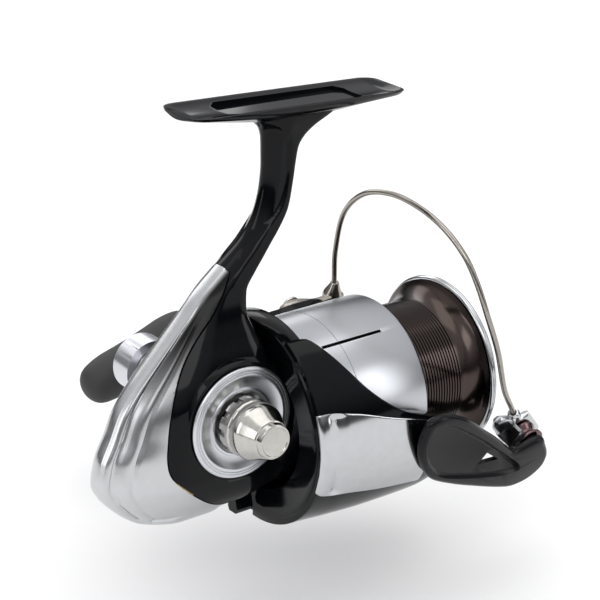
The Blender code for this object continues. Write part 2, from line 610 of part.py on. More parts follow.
# The roller bracket lies along the lever: s runs along it, w is square to it in the plane of the lever.
tip = math.radians(-25.6)
BRACKET_S = math.cos(tip) * X + math.sin(tip) * ARM_V
BRACKET_W = -math.sin(tip) * X + math.cos(tip) * ARM_V
BRACKET = 41.0 * X - 6.6 * ARM_V
shield = [(-10.3, 0.8), (-8.6, -1.4), (-1.6, -4.9), (4.5, -4.6), (10.2, -2.4), (10.4, -0.6), (9.2, 1.9),
          (0.8, 5.6), (-1.9, 3.7), (-9.2, 2.6)]
bracket = part(prism(shield, BRACKET, BRACKET_S, BRACKET_W, ARM_A, -26.2, -24.2), "roller_bracket", bail,
               "chrome")
rear_web = [(-5.6, -3.0), (-3.2, -3.0), (-3.2, 2.0), (-5.6, 2.0)]
combine(bracket, prism(rear_web, BRACKET, BRACKET_S, BRACKET_W, ARM_A, -30.9, -25.0), "UNION")
ROLLER = BRACKET + 2.0 * BRACKET_S - 0.8 * BRACKET_W
combine(bracket, rod(1.5, 20, 40, ROLLER, -ARM_A, 16))
part(rod(1.2, 24.6, 30.9, ROLLER, -ARM_A, 16), "roller_pin", bail, "steel", ROLLER)
WIRE = [(39.8, -25.2, -2.7), (37.2, -25.1, 1.6), (32.6, -24.8, 9.1), (27.1, -23.7, 22.4),
        (23.8, -19.9, 31.9), (22.0, -15.1, 39.2),
        (20.8, -9.5, 44.3), (19.9, -1.1, 47.2), (18.8, 8.2, 47.7), (17.4, 17.6, 45.9), (16.6, 26.4, 40.2),
        (17.1, 32.5, 29.8), (18.9, 34.1, 16.1), (20.7, 33.6, 5.6)]
course = smooth_path([x * X + a * ARM_A + v * ARM_V for x, a, v in WIRE], 2)
socket = course[1] - course[0]
combine(bracket, rod(1.7, 0, 2.6, course[0], socket, 16), "UNION")
combine(bracket, rod(1.05, -0.8, 4, course[0], socket, 16))
part(tube(course, WIRE_R), "bail_wire", bail, "titan")
HOLDER = 20.9 * X + 0.4 * ARM_V
link = [(3.8, -2.8), (7.5, -3.8), (13.0, -3.4), (20.0, -2.8), (23.0, -1.8), (23.6, 0.4), (22.6, 2.2),
        (15.0, 3.2), (10.6, 4.4), (7.5, 4.8), (3.8, 3.8), (2.6, 0.5)]
holder = part(prism(link, (0, 0, 0), X, ARM_V, ARM_A, 31.3, 33.5), "bail_holder", bail, "titan")
combine(holder, rod(1.8, 20, 40, PIVOT, ARM_A, 16))
combine(holder, lathe([(-1.6, 0), (-1.6, 2.3), (0.0, 2.7), (1.6, 2.5), (4.9, 1.1), (4.9, 0)],
                      HOLDER + 33.3 * ARM_A, ARM_V, 16), "UNION")

roller = empty("roller_joint", ROLLER, ROOT)
groove = [(26.6, 1.6), (26.6, ROLLER_R), (27.2, ROLLER_R), (28.2, 3.3), (29.1, 3.3), (30.0, ROLLER_R),
          (30.6, ROLLER_R), (30.6, 1.6)]
part(lathe(groove, ROLLER, -ARM_A, 20), "line_roller", roller, "brass", ROLLER)

# ---- Spool ------------------------------------------------------------------------------------------------
spool = empty("spool_joint", (0, 0, 0), ROOT)
drum = [(3.0, 16.6), (3.0, DRUM_R), (26.5, DRUM_R), (28.6, 19.0), (30.6, 20.9), (31.2, 22.2), (31.2, 13.6),
        (19.0, 13.6), (19.0, 2.4), (16.0, 2.4), (16.0, 16.6)]
part(lathe(drum, seg=32), "spool_drum", spool, "brown")
skirt = [(SKIRT_REAR, 21.9), (SKIRT_REAR, 22.8), (SKIRT_REAR + 0.4, LIP_R), (-10.5, LIP_R), (-10.2, 22.8),
         (-9.9, LIP_R), (SKIRT_FRONT - 0.6, LIP_R), (SKIRT_FRONT, 22.6), (SKIRT_FRONT, DRUM_R + GAP),
         (SKIRT_FRONT - 1.6, DRUM_R + GAP), (SKIRT_FRONT - 1.6, 21.9)]
sleeve = part(lathe(skirt, seg=32), "spool_skirt", spool, "satin")
slot_turn = math.radians(59)
radial = -math.cos(slot_turn) * Y + math.sin(slot_turn) * Z
slot = [(-15.4, -0.45), (3.1, -0.45), (3.1, 0.45), (-15.4, 0.45)]
combine(sleeve, prism(slot, (0, 0, 0), X, radial.cross(X), radial, 20, 25))
lip = [(31.5, 20.4), (31.5, 22.6), (LIP_X - 0.3, LIP_R), (LIP_X + 0.5, LIP_R), (LIP_X + 1.1, 22.4),
       (LIP_X + 1.1, 20.4)]
part(lathe(lip, seg=32), "spool_lip", spool, "chrome")
part(ring(2.8, 13.0, 19.3, 20.5, seg=20), "drag_washer_rear", spool, "carbon")
part(ring(2.4, 12.2, 20.8, 21.8, seg=20), "key_washer", line, "steel")
part(ring(2.8, 13.0, 22.1, 23.3, seg=20), "drag_washer_front", spool, "carbon")
clip = [(r * math.cos(t), r * math.sin(t)) for r, way in ((13.3, 1), (12.3, -1))
        for t in [way * math.radians(160 - 20 * k) for k in range(17)]]
part(prism(clip, (0, 0, 0), Y, Z, X, 23.6, 24.4), "drag_retainer", spool, "steel")
part(toothed(16, 8.2, 9.2, 2.3 + 0.1, 9.0, 10.6, (0, 0, 0), X), "click_wheel", line, "steel")
part(prism([(9.6, -1.2), (12.6, -2.0), (13.6, 0), (12.6, 2.0), (9.6, 1.2)], (0, 0, 0), Z, Y, X, 9.2, 15.7),
     "click_pawl", spool, "steel")

drag = empty("drag_knob_joint", (0, 0, 0), ROOT)
face = [(25.2, 2.4), (25.2, 12.4), (26.0, 13.1), (33.2, 13.1), (34.6, 12.6), (35.4, 11.6), (35.4, 10.2),
        (34.6, 9.8), (34.6, 4.4), (36.5, 4.4), (36.5, 2.4)]
dial = part(lathe(face, seg=24), "drag_knob", drag, "satin")
combine(dial, block((33.6, 37.4), (-11.2, 11.2), (-1.7, 1.7)), "UNION")
combine(dial, rod(2.4, 20, 36.5, seg=20))
part(rod(2.0, 36.9, 37.9, seg=16), "drag_knob_cap", drag, "dark")
combine(dial, rod(2.4, 36.4, 39, seg=20))
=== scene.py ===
"""The looks of the spinning reel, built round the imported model.

Lengths are millimetres in the shaft frame: x forward along the main shaft, y towards the handle and z up to
the foot.
"""

import json
import math

import bmesh
import bpy
import numpy as np
from mathutils import Matrix, Vector


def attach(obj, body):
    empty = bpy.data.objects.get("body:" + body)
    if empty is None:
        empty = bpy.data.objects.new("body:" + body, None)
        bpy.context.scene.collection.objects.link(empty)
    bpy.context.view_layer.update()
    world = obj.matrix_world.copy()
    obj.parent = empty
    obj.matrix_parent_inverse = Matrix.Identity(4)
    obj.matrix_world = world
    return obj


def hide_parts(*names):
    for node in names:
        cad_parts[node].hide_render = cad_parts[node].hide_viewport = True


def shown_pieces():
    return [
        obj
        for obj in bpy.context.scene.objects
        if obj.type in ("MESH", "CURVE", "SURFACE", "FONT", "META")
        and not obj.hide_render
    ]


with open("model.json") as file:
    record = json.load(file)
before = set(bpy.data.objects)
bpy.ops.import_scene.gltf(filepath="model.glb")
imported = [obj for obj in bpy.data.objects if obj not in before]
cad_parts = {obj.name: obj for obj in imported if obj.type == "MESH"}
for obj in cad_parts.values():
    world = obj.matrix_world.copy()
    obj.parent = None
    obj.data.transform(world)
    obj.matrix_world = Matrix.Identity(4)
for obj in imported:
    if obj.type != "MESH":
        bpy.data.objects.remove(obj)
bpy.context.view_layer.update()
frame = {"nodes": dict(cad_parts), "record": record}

MM = 0.001
X, Y, Z = Vector((1, 0, 0)), Vector((0, 1, 0)), Vector((0, 0, 1))
FOOT_REAR, FOOT_FRONT, FOOT_HALF, FOOT_Z, FOOT_SLOPE = -49.6, 14.2, 8.03, 80.5, -0.06327
POCKET_X, POCKET_REACH, POCKET_HALF, POCKET_DEPTH = -17.5, 20.0, 5.7, 1.6
SEAT = Vector((POCKET_X, 0, FOOT_Z + FOOT_SLOPE * POCKET_X - POCKET_DEPTH))
DRIVE = Vector((-40.1, 0, 6.4))
PLATE_R, CASE_HALF = 14.43, 11.7
CUP_R, CUP_REAR, CUP_FRONT, CUP_WEB, NOSE_R = 27.0, -28.0, -22.2, -26.2, 20.4
ARM_TILT = math.radians(18)
ARM_A = Vector((0, math.cos(ARM_TILT), math.sin(ARM_TILT)))
ARM_V = Vector((0, -math.sin(ARM_TILT), math.cos(ARM_TILT)))
PIVOT = 7.5 * X + 0.5 * ARM_V
WIRE_R = 0.75
LIP_X, LIP_R, SKIRT_REAR, SKIRT_FRONT, DRUM_R = 32.3, 23.0, -21.0, 10.0, 18.2
KNOB = Vector((-12.0, 0, -15.0))
BAR_Y, BAR_HALF, BAR_R = 77.6, 19.6, 6.4
BAR_DIR = Vector((0.951, 0.0, 0.309)).normalized()
TURNED = 144
# Object coordinates are metres, and a noise of scale 1 then has features of about 60 mm.
GRAIN_SCALE = 1000 / 60


# ---- Materials --------------------------------------------------------------------------------------------
def finish(name, base, metallic, rough, spread=0.04, grain=60.0, bump=0.02, tone=0.12, specular=0.5,
           stretch=(1, 1, 1)):
    """A finish whose colour, roughness and relief vary with a noise, stretched along the given axes."""
    made = bpy.data.materials.new(name)
    made.use_nodes = True
    nodes, links = made.node_tree.nodes, made.node_tree.links
    shader = nodes["Principled BSDF"]
    shader.inputs["Metallic"].default_value = metallic
    shader.inputs["Specular IOR Level"].default_value = specular
    place = nodes.new("ShaderNodeTexCoord")
    scale = nodes.new("ShaderNodeMapping")
    scale.inputs["Scale"].default_value = [GRAIN_SCALE * s for s in stretch]
    links.new(place.outputs["Object"], scale.inputs["Vector"])
    fine = nodes.new("ShaderNodeTexNoise")
    fine.inputs["Scale"].default_value = grain
    fine.inputs["Detail"].default_value = 4
    broad = nodes.new("ShaderNodeTexNoise")
    broad.inputs["Scale"].default_value = 2.2
    broad.inputs["Detail"].default_value = 2
    links.new(scale.outputs["Vector"], fine.inputs["Vector"])
    links.new(place.outputs["Object"], broad.inputs["Vector"])
    ramp = nodes.new("ShaderNodeValToRGB")
    ramp.color_ramp.elements[0].position = 0.3
    ramp.color_ramp.elements[0].color = (*[c * (1 - tone) for c in base], 1)
    ramp.color_ramp.elements[1].position = 0.7
    ramp.color_ramp.elements[1].color = (*[min(1, c * (1 + tone)) for c in base], 1)
    links.new(fine.outputs["Fac"], ramp.inputs["Fac"])
    links.new(ramp.outputs["Color"], shader.inputs["Base Color"])
    both = nodes.new("ShaderNodeMath")
    both.operation = "ADD"
    links.new(fine.outputs["Fac"], both.inputs[0])
    links.new(broad.outputs["Fac"], both.inputs[1])
    shine = nodes.new("ShaderNodeMapRange")
    shine.inputs["From Min"].default_value = 0.6
    shine.inputs["From Max"].default_value = 1.4
    shine.inputs["To Min"].default_value = max(0.01, rough - spread)
    shine.inputs["To Max"].default_value = rough + spread
    links.new(both.outputs["Value"], shine.inputs["Value"])
    links.new(shine.outputs["Result"], shader.inputs["Roughness"])
    relief = nodes.new("ShaderNodeBump")
    relief.inputs["Strength"].default_value = bump
    relief.inputs["Distance"].default_value = 0.0001
    links.new(fine.outputs["Fac"], relief.inputs["Height"])
    links.new(relief.outputs["Normal"], shader.inputs["Normal"])
    return made


def painted_reflection_upward(material, low, high, least, edge):
    """Paints shade upwards between two heights as a painted reflection of the black body, but leaves the
    narrow edge in the middle plane undarkened as a painted bright rim.
    """
    nodes, links = material.node_tree.nodes, material.node_tree.links
    shader = nodes["Principled BSDF"]
    colour = shader.inputs["Base Color"].links[0].from_socket
    place = nodes.new("ShaderNodeTexCoord")
    height = nodes.new("ShaderNodeSeparateXYZ")
    risen = nodes.new("ShaderNodeMapRange")
    risen.interpolation_type = "SMOOTHSTEP"
    risen.inputs["From Min"].default_value = (low - SEAT.z) * MM
    risen.inputs["From Max"].default_value = (high - SEAT.z) * MM
    aside = nodes.new("ShaderNodeMath")
    aside.operation = "ABSOLUTE"
    off_edge = nodes.new("ShaderNodeMapRange")
    off_edge.interpolation_type = "SMOOTHSTEP"
    off_edge.inputs["From Min"].default_value = edge[0] * MM
    off_edge.inputs["From Max"].default_value = edge[1] * MM
    dark = nodes.new("ShaderNodeMath")
    dark.operation = "MULTIPLY"
    share = nodes.new("ShaderNodeMapRange")
    share.inputs["To Min"].default_value = 1.0
    share.inputs["To Max"].default_value = least
    dim = nodes.new("ShaderNodeVectorMath")
    dim.operation = "SCALE"
    links.new(place.outputs["Object"], height.inputs["Vector"])
    links.new(height.outputs["Z"], risen.inputs["Value"])
    links.new(height.outputs["Y"], aside.inputs[0])
    links.new(aside.outputs["Value"], off_edge.inputs["Value"])
    links.new(risen.outputs["Result"], dark.inputs[0])
    links.new(off_edge.outputs["Result"], dark.inputs[1])
    links.new(dark.outputs["Value"], share.inputs["Value"])
    links.new(colour, dim.inputs[0])
    links.new(share.outputs["Result"], dim.inputs["Scale"])
    links.new(dim.outputs["Vector"], shader.inputs["Base Color"])


def painted_groove_shade(material, first, pitch, count, least):
    """Paints shade in narrow bands round the shaft, one in each groove of the spool."""
    nodes, links = material.node_tree.nodes, material.node_tree.links
    shader = nodes["Principled BSDF"]
    colour = shader.inputs["Base Color"].links[0].from_socket
    place = nodes.new("ShaderNodeTexCoord")
    along = nodes.new("ShaderNodeSeparateXYZ")
    links.new(place.outputs["Object"], along.inputs["Vector"])
    middle = (first - SEAT.x) * MM
    from_groove = nodes.new("ShaderNodeMath")
    from_groove.operation = "SUBTRACT"
    from_groove.inputs[1].default_value = middle
    links.new(along.outputs["X"], from_groove.inputs[0])
    swing = nodes.new("ShaderNodeMath")
    swing.operation = "PINGPONG"
    swing.inputs[1].default_value = pitch / 2 * MM
    links.new(from_groove.outputs["Value"], swing.inputs[0])
    share = nodes.new("ShaderNodeMapRange")
    for name, value in (("From Min", 0.12 * pitch * MM), ("From Max", 0.3 * pitch * MM), ("To Min", least),
                        ("To Max", 1.0)):
        share.inputs[name].default_value = value
    links.new(swing.outputs["Value"], share.inputs["Value"])
    beyond = nodes.new("ShaderNodeMapRange")
    for name, value in (("From Min", middle + (count - 0.5) * pitch * MM),
                        ("From Max", middle + count * pitch * MM)):
        beyond.inputs[name].default_value = value
    links.new(along.outputs["X"], beyond.inputs["Value"])
    most = nodes.new("ShaderNodeMath")
    most.operation = "MAXIMUM"
    links.new(share.outputs["Result"], most.inputs[0])
    links.new(beyond.outputs["Result"], most.inputs[1])
    dim = nodes.new("ShaderNodeVectorMath")
    dim.operation = "SCALE"
    links.new(colour, dim.inputs[0])
    links.new(most.outputs["Value"], dim.inputs["Scale"])
    links.new(dim.outputs["Vector"], shader.inputs["Base Color"])


RING = (60, 1, 1)
LOOK = {
    "black_paint": finish("black_lacquer", (0.0022, 0.0026, 0.0034), 0.0, 0.1, 0.02, 40, 0.003, 0.2, 0.16),
    "chrome": finish("polished_chrome", (0.52, 0.53, 0.54), 1.0, 0.13, 0.015, 30, 0.002, 0.03),
    "cover_plating": finish("cover_plating", (0.55, 0.555, 0.565), 1.0, 0.25, 0.02, 30, 0.002, 0.03),
    "satin_aluminium": finish("satin_aluminium", (0.51, 0.525, 0.55), 1.0, 0.28, 0.015, 24, 0.02, 0.02, 0.5,
                              RING),
    "side_satin": finish("side_satin_aluminium", (0.62, 0.63, 0.66), 1.0, 0.29, 0.02, 30, 0.008, 0.02, 0.5,
                         (1, 40, 1)),
    "steel": finish("machined_steel", (0.50, 0.49, 0.46), 1.0, 0.15, 0.03, 40, 0.01, 0.05),
    "dark_alloy": finish("dark_alloy", (0.004, 0.004, 0.0052), 0.0, 0.22, 0.03, 160, 0.02, 0.15, 0.18),
    "brown_alloy": finish("brown_alloy", (0.058, 0.045, 0.041), 1.0, 0.19, 0.03, 30, 0.02, 0.08, 0.5, RING),
    "grooved_alloy": finish("grooved_alloy", (0.066, 0.052, 0.047), 1.0, 0.19, 0.03, 30, 0.02, 0.08, 0.5,
                            RING),
    "brass": finish("cut_brass", (0.62, 0.44, 0.19), 1.0, 0.24, 0.05, 50, 0.03, 0.08),
    "bronze_coating": finish("bronze_coating", (0.15, 0.095, 0.10), 1.0, 0.14, 0.03, 50, 0.02, 0.15),
    "titanium": finish("titanium", (0.34, 0.315, 0.285), 1.0, 0.19, 0.03, 60, 0.02, 0.06),
    "grip_rubber": finish("grip_rubber", (0.022, 0.022, 0.023), 0.0, 0.6, 0.05, 260, 0.25, 0.2),
    "carbon": finish("carbon_washer", (0.03, 0.03, 0.033), 0.1, 0.5, 0.08, 200, 0.3, 0.3),
}


# ---- Mesh helpers -----------------------------------------------------------------------------------------
def monotone(table, x):
    """A smooth curve through the table's points that never overshoots them."""
    xs, ys = np.array(table, float).T
    step, rise = np.diff(xs), np.diff(ys) / np.diff(xs)
    slope = np.concatenate([[rise[0]], np.zeros(len(rise) - 1), [rise[-1]]])
    for i in range(1, len(rise)):
        if rise[i - 1] * rise[i] > 0:
            one, two = 2 * step[i] + step[i - 1], step[i] + 2 * step[i - 1]
            slope[i] = (one + two) / (one / rise[i - 1] + two / rise[i])
    i = int(np.clip(np.searchsorted(xs, x) - 1, 0, len(rise) - 1))
    h, t = step[i], min(max((x - xs[i]) / step[i], 0), 1)
    from_start = (1 + 2 * t) * (1 - t) ** 2 * ys[i] + t * (1 - t) ** 2 * h * slope[i]
    return float(from_start + t * t * (3 - 2 * t) * ys[i + 1] + t * t * (t - 1) * h * slope[i + 1])


def refined(rows, count):
    """The rows of a table at evenly spaced values of its first column."""
    first = [row[0] for row in rows]
    made = []
    for place in np.linspace(first[0], first[-1], count):
        columns = [monotone([(row[0], row[c]) for row in rows], place) for c in range(1, len(rows[0]))]
        made.append((float(place), *columns))
    return made


def ease(value):
    t = min(max(value, 0.0), 1.0)
    return t * t * (3 - 2 * t)


def axes_of(axis):
    axis = Vector(axis).normalized()
    side = axis.cross(Z) if abs(axis.z) < 0.9 else axis.cross(X)
    side.normalize()
    return axis, side, axis.cross(side)


def loft(sections):
    """A closed skin through the sections, which all have the same number of points."""
    bm = bmesh.new()
    rings = [[bm.verts.new(p) for p in section] for section in sections]
    for one, two in zip(rings, rings[1:]):
        for k in range(len(one)):
            n = (k + 1) % len(one)
            bm.faces.new((one[k], one[n], two[n], two[k]))
    bm.faces.new(rings[0])
    bm.faces.new(rings[-1])
    return bm


def lathe(profile, at=(0, 0, 0), axis=X, seg=TURNED):
    """Turn a closed outline of (distance along the axis, radius)."""
    axis, side, up = axes_of(axis)
    bm = bmesh.new()
    loops = []
    for along, radius in profile:
        centre = Vector(at) + along * axis
        if radius == 0:
            loops.append([bm.verts.new(centre)])
            continue
        turns = [math.tau * k / seg for k in range(seg)]
        spokes = [math.cos(t) * side + math.sin(t) * up for t in turns]
        loops.append([bm.verts.new(centre + radius * spoke) for spoke in spokes])
    for one, two in zip(loops, loops[1:] + loops[:1]):
        for k in range(seg):
            n = (k + 1) % seg
            if len(one) == 1 and len(two) == 1:
                continue
            if len(one) == 1:
                bm.faces.new((one[0], two[n], two[k]))
            elif len(two) == 1:
                bm.faces.new((one[k], one[n], two[0]))
            else:
                bm.faces.new((one[k], one[n], two[n], two[k]))
    return bm


def rod(radius, start, end, at=(0, 0, 0), axis=X, seg=64):
    return lathe([(start, 0), (start, radius), (end, radius), (end, 0)], at, axis, seg)


def ring(inner, outer, start, end, at=(0, 0, 0), axis=X, seg=TURNED):
    return lathe([(start, inner), (start, outer), (end, outer), (end, inner)], at, axis, seg)


def block(x, y, z):
    return prism([(x[0], z[0]), (x[1], z[0]), (x[1], z[1]), (x[0], z[1])], (0, 0, 0), X, Z, Y, y[0], y[1])


def prism(outline, origin, first, second, normal, low, high):
    rows = [[Vector(origin) + p * first + q * second + h * normal for p, q in outline] for h in (low, high)]
    return loft(rows)


def rounded(points, steps, cyclic=True):
    """A smooth line through the points."""
    points = [Vector(p) for p in points]
    count = len(points)
    if not cyclic:
        points = [2 * points[0] - points[1]] + points + [2 * points[-1] - points[-2]]
    path = []
    for i in range(count if cyclic else count - 1):
        a, b, c, d = [points[(i + k - cyclic) % len(points)] for k in range(4)]
        for k in range(steps):
            t = k / steps
            curve = 2 * b + (c - a) * t + (2 * a - 5 * b + 4 * c - d) * t**2
            path.append(0.5 * (curve + (3 * b - a - 3 * c + d) * t**3))
    return path if cyclic else path + [points[-2]]


def sweep(path, widths, heights, wide, seg=32):
    sections = []
    for i, centre in enumerate(path):
        along = (path[min(i + 1, len(path) - 1)] - path[max(i - 1, 0)]).normalized()
        first = (wide - wide.dot(along) * along).normalized()
        second = along.cross(first)
        share = i / (len(path) - 1)
        w = widths[0] + (widths[1] - widths[0]) * share
        h = heights[0] + (heights[1] - heights[0]) * share
        turns = [math.tau * k / seg for k in range(seg)]
        sections.append([centre + w * math.cos(t) * first + h * math.sin(t) * second for t in turns])
    return loft(sections)


def joined(*shapes):
    """Several shapes in one mesh."""
    bm = shapes[0]
    for other in shapes[1:]:
        mesh = bpy.data.meshes.new("part")
        other.to_mesh(mesh)
        other.free()
        bm.from_mesh(mesh)
        bpy.data.meshes.remove(mesh)
    return bm


def mesh_object(bm, name):
    bm.normal_update()
    bmesh.ops.recalc_face_normals(bm, faces=bm.faces[:])
    bmesh.ops.translate(bm, vec=-SEAT, verts=bm.verts[:])
    bmesh.ops.scale(bm, vec=(MM, MM, MM), verts=bm.verts[:])
    mesh = bpy.data.meshes.new(name)
    bm.to_mesh(mesh)
    bm.free()
    made = bpy.data.objects.new(name, mesh)
    bpy.context.scene.collection.objects.link(made)
    return made


def worked(obj, tools):
    """Apply each (operation, shape) to the object's mesh in turn."""
    for operation, bm in tools:
        helper = mesh_object(bm, "tool")
        modifier = obj.modifiers.new("work", "BOOLEAN")
        modifier.operation = operation
        modifier.solver = "EXACT"
        modifier.object = helper
        settle(obj)
        bpy.data.objects.remove(helper, do_unlink=True)


def settle(obj):
    """Apply the object's modifiers."""
    graph = bpy.context.evaluated_depsgraph_get()
    graph.update()
    mesh = bpy.data.meshes.new_from_object(obj.evaluated_get(graph))
    obj.modifiers.clear()
    obj.data = mesh


def dress(obj, node, slot, look=None, edge=0.12, smooth=34, steps=2):
    """Round the edges, shade, paint and hang a piece on the body of the node that it stands for."""
    obj.data.materials.clear()
    obj.data.materials.append(LOOK[look or slot])
    obj.data.polygons.foreach_set("material_index", [0] * len(obj.data.polygons))
    if edge:
        bevel = obj.modifiers.new("edges", "BEVEL")
        bevel.width = edge * MM
        bevel.segments = steps
        bevel.limit_method = "ANGLE"
        bevel.angle_limit = math.radians(smooth)
        bevel.use_clamp_overlap = True
        bevel.harden_normals = False
    obj.data.shade_smooth()
    if edge:
        settle(obj)
    obj.data.set_sharp_from_angle(angle=math.radians(smooth))
    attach(obj, BODY[node])
    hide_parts(node)


BODY = {node: body for body, nodes in frame["record"]["behaviour"]["bodies"].items() for node in nodes}


# ---- Gearcase, stem and foot ------------------------------------------------------------------------------
# Level sections: height, rear end, front end, half width, half width of the tail ridge.
CASE = [
    (-20.6, -57.0, -44.5, 3.0, 1.8), (-19.5, -61.0, -42.6, 5.4, 2.6), (-17.5, -65.5, -41.0, 7.4, 3.2),
    (-16.4, -67.0, -30.0, 8.2, 3.4), (-14.0, -69.8, -28.4, 9.6, 3.7), (-10.0, -73.2, -28.2, 10.9, 3.9),
    (-6.0, -75.0, -28.2, 11.6, 4.0), (0.0, -73.9, -28.2, CASE_HALF, 4.0),
    (6.0, -71.0, -28.2, CASE_HALF, 3.9), (12.0, -68.2, -28.2, CASE_HALF, 3.8),
    (17.0, -64.3, -28.4, 11.2, 3.6), (22.0, -59.4, -29.4, 10.0, 3.4), (27.0, -54.3, -31.4, 8.1, 3.1),
    (32.0, -49.3, -33.0, 6.4, 2.8), (37.0, -44.6, -32.6, 5.5, 2.5), (41.0, -39.8, -29.9, 5.0, 2.3),
    (44.5, -35.4, -27.2, 4.8, 2.2), (47.5, -31.9, -24.9, 4.6, 2.1), (51.0, -29.0, -22.2, 4.5, 2.0),
    (55.5, -26.8, -19.6, 4.4, 2.0), (61.4, -25.4, -18.2, 4.3, 2.0), (66.0, -25.0, -17.4, 4.3, 2.0),
    (70.5, -25.0, -16.4, 4.4, 2.1), (73.0, -25.1, -14.6, 4.7, 2.2), (75.4, -25.8, -11.2, 5.2, 2.4),
    (77.2, -27.2, -7.2, 5.6, 2.8), (79.0, -28.6, -4.0, 5.8, 3.0),
]
CAVITY = [
    (-14.8, -66.0, -30.4, 7.6, 2.4), (-10.0, -70.6, -29.4, 9.3, 2.6), (-6.0, -72.2, -29.4, 10.0, 2.7),
    (0.0, -71.0, -29.4, 10.1, 2.7), (12.0, -65.2, -29.4, 10.1, 2.6), (17.0, -61.3, -29.8, 9.6, 2.4),
    (22.0, -56.6, -31.4, 8.4, 2.2), (26.0, -52.5, -33.4, 6.8, 2.0), (29.0, -49.0, -35.0, 5.4, 1.8),
]
SEAM = [
    (-37.2, 42.0), (-38.6, 40.2), (-43.7, 33.4), (-48.7, 28.4), (-53.1, 23.3), (-56.3, 18.2), (-58.9, 11.9),
    (-60.2, 5.4), (-60.8, 0.6), (-59.7, -3.9), (-54.8, -9.1), (-48.3, -14.4), (-43.5, -16.7), (-38.0, -17.1),
]
# The step between the stem's front rim and its side panel: height, x.
RIM = [(38.0, -37.5), (44.6, -33.2), (47.8, -30.0), (51.5, -26.1), (56.6, -21.6), (61.8, -19.9),
       (66.1, -19.3), (71.6, -19.4), (75.2, -21.6), (77.0, -24.6)]


def width_at(t, half, tail, corners):
    table = [(0.0, corners[0]), (0.03, corners[1]), (0.09, 0.96), (0.2, 1.0), (0.6, 1.0)]
    for share in (0.68, 0.76, 0.84, 0.9, 0.95):
        table.append((share, 1 - (1 - tail / half) * ((share - 0.6) / 0.35) ** 1.7))
    table += [(0.985, 0.72 * tail / half), (1.0, 0.35 * tail / half)]
    return monotone(table, t)


def level_section(z, rear, front, half, tail, corners=(0.55, 0.82), count=44, shape=None):
    near = []
    for k in range(count + 1):
        t = 0.5 - 0.5 * math.cos(math.pi * k / count)
        x = front + (rear - front) * t
        w = half * width_at(t, half, tail, corners)
        if shape:
            w -= shape(x, z, t)
        near.append(Vector((x, -w, z)))
    return near + [Vector((p.x, -p.y, p.z)) for p in reversed(near)]


def stem_panel(x, z, t):
    """How far the stem's side is sunk behind its front rim."""
    if z < RIM[0][0] or z > RIM[-1][0]:
        return 0.0
    behind = monotone(RIM, z) - x
    return 0.75 * ease(behind / 0.9) * ease((z - 38) / 10) * ease((77.0 - z) / 0.8)


def tail_ridges(x, z, t):
    """A sharp groove, a round ridge and a hollow along the rear cover, ahead of its tail."""
    share = ease((38 - z) / 18) * ease((z + 20) / 5)
    groove = 0.5 * math.exp(-(((t - 0.862) / 0.009) ** 2))
    crest = -0.25 * math.exp(-(((t - 0.897) / 0.02) ** 2))
    hollow = 0.8 * math.exp(-(((t - 0.942) / 0.016) ** 2))
    return share * (groove + crest + hollow)


def seam_cutter(offset):
    """Everything behind the seam, moved towards the gearcase by the offset."""
    line = rounded([(x, z, 0) for x, z in SEAM], 4, cyclic=False)
    moved = []
    for i, p in enumerate(line):
        one, two = line[max(i - 1, 0)], line[min(i + 1, len(line) - 1)]
        reach = math.hypot(two.x - one.x, two.y - one.y)
        moved.append((p.x - (two.y - one.y) / reach * offset, p.y + (two.x - one.x) / reach * offset))
    outline = [(-38.4, 45.5)] + moved + [(moved[-1][0], -30.0), (-90.0, -30.0), (-90.0, 45.5)]
    return prism(outline, (0, 0, 0), X, Z, -Y, -20, 20)


def foot_section(x):
    edge = FOOT_Z + FOOT_SLOPE * x
    from_end = min(x - FOOT_REAR, FOOT_FRONT - x)
    corner = 4.6
    half = FOOT_HALF - (corner - math.sqrt(max(corner**2 - max(corner - from_end, 0) ** 2, 0))) * 0.75
    middle = 1 - abs((x + 17.7) / 32.0) ** 1.6
    thick = 1.5 + 3.6 * max(middle, 0)
    sag = min(1.0, from_end / 3)
    section = []
    for k in range(25):
        s = 1 - k / 12
        depth = 0.0 if abs(s) > 0.9 else -(1 - (abs(s) / 0.9) ** 2) ** 0.8
        section.append(Vector((x, half * s, edge + depth * sag)))
    under = [(-1.0, 0.0), (-0.97, 0.28), (-0.72, 0.62), (-0.4, 0.9), (0.0, 1.0), (0.4, 0.9), (0.72, 0.62),
             (0.97, 0.28), (1.0, 0.0)]
    for k in range(1, 24):
        s = -1 + k / 12
        section.append(Vector((x, half * s, edge - max(monotone(under, s) * thick, 0.45))))
    return section


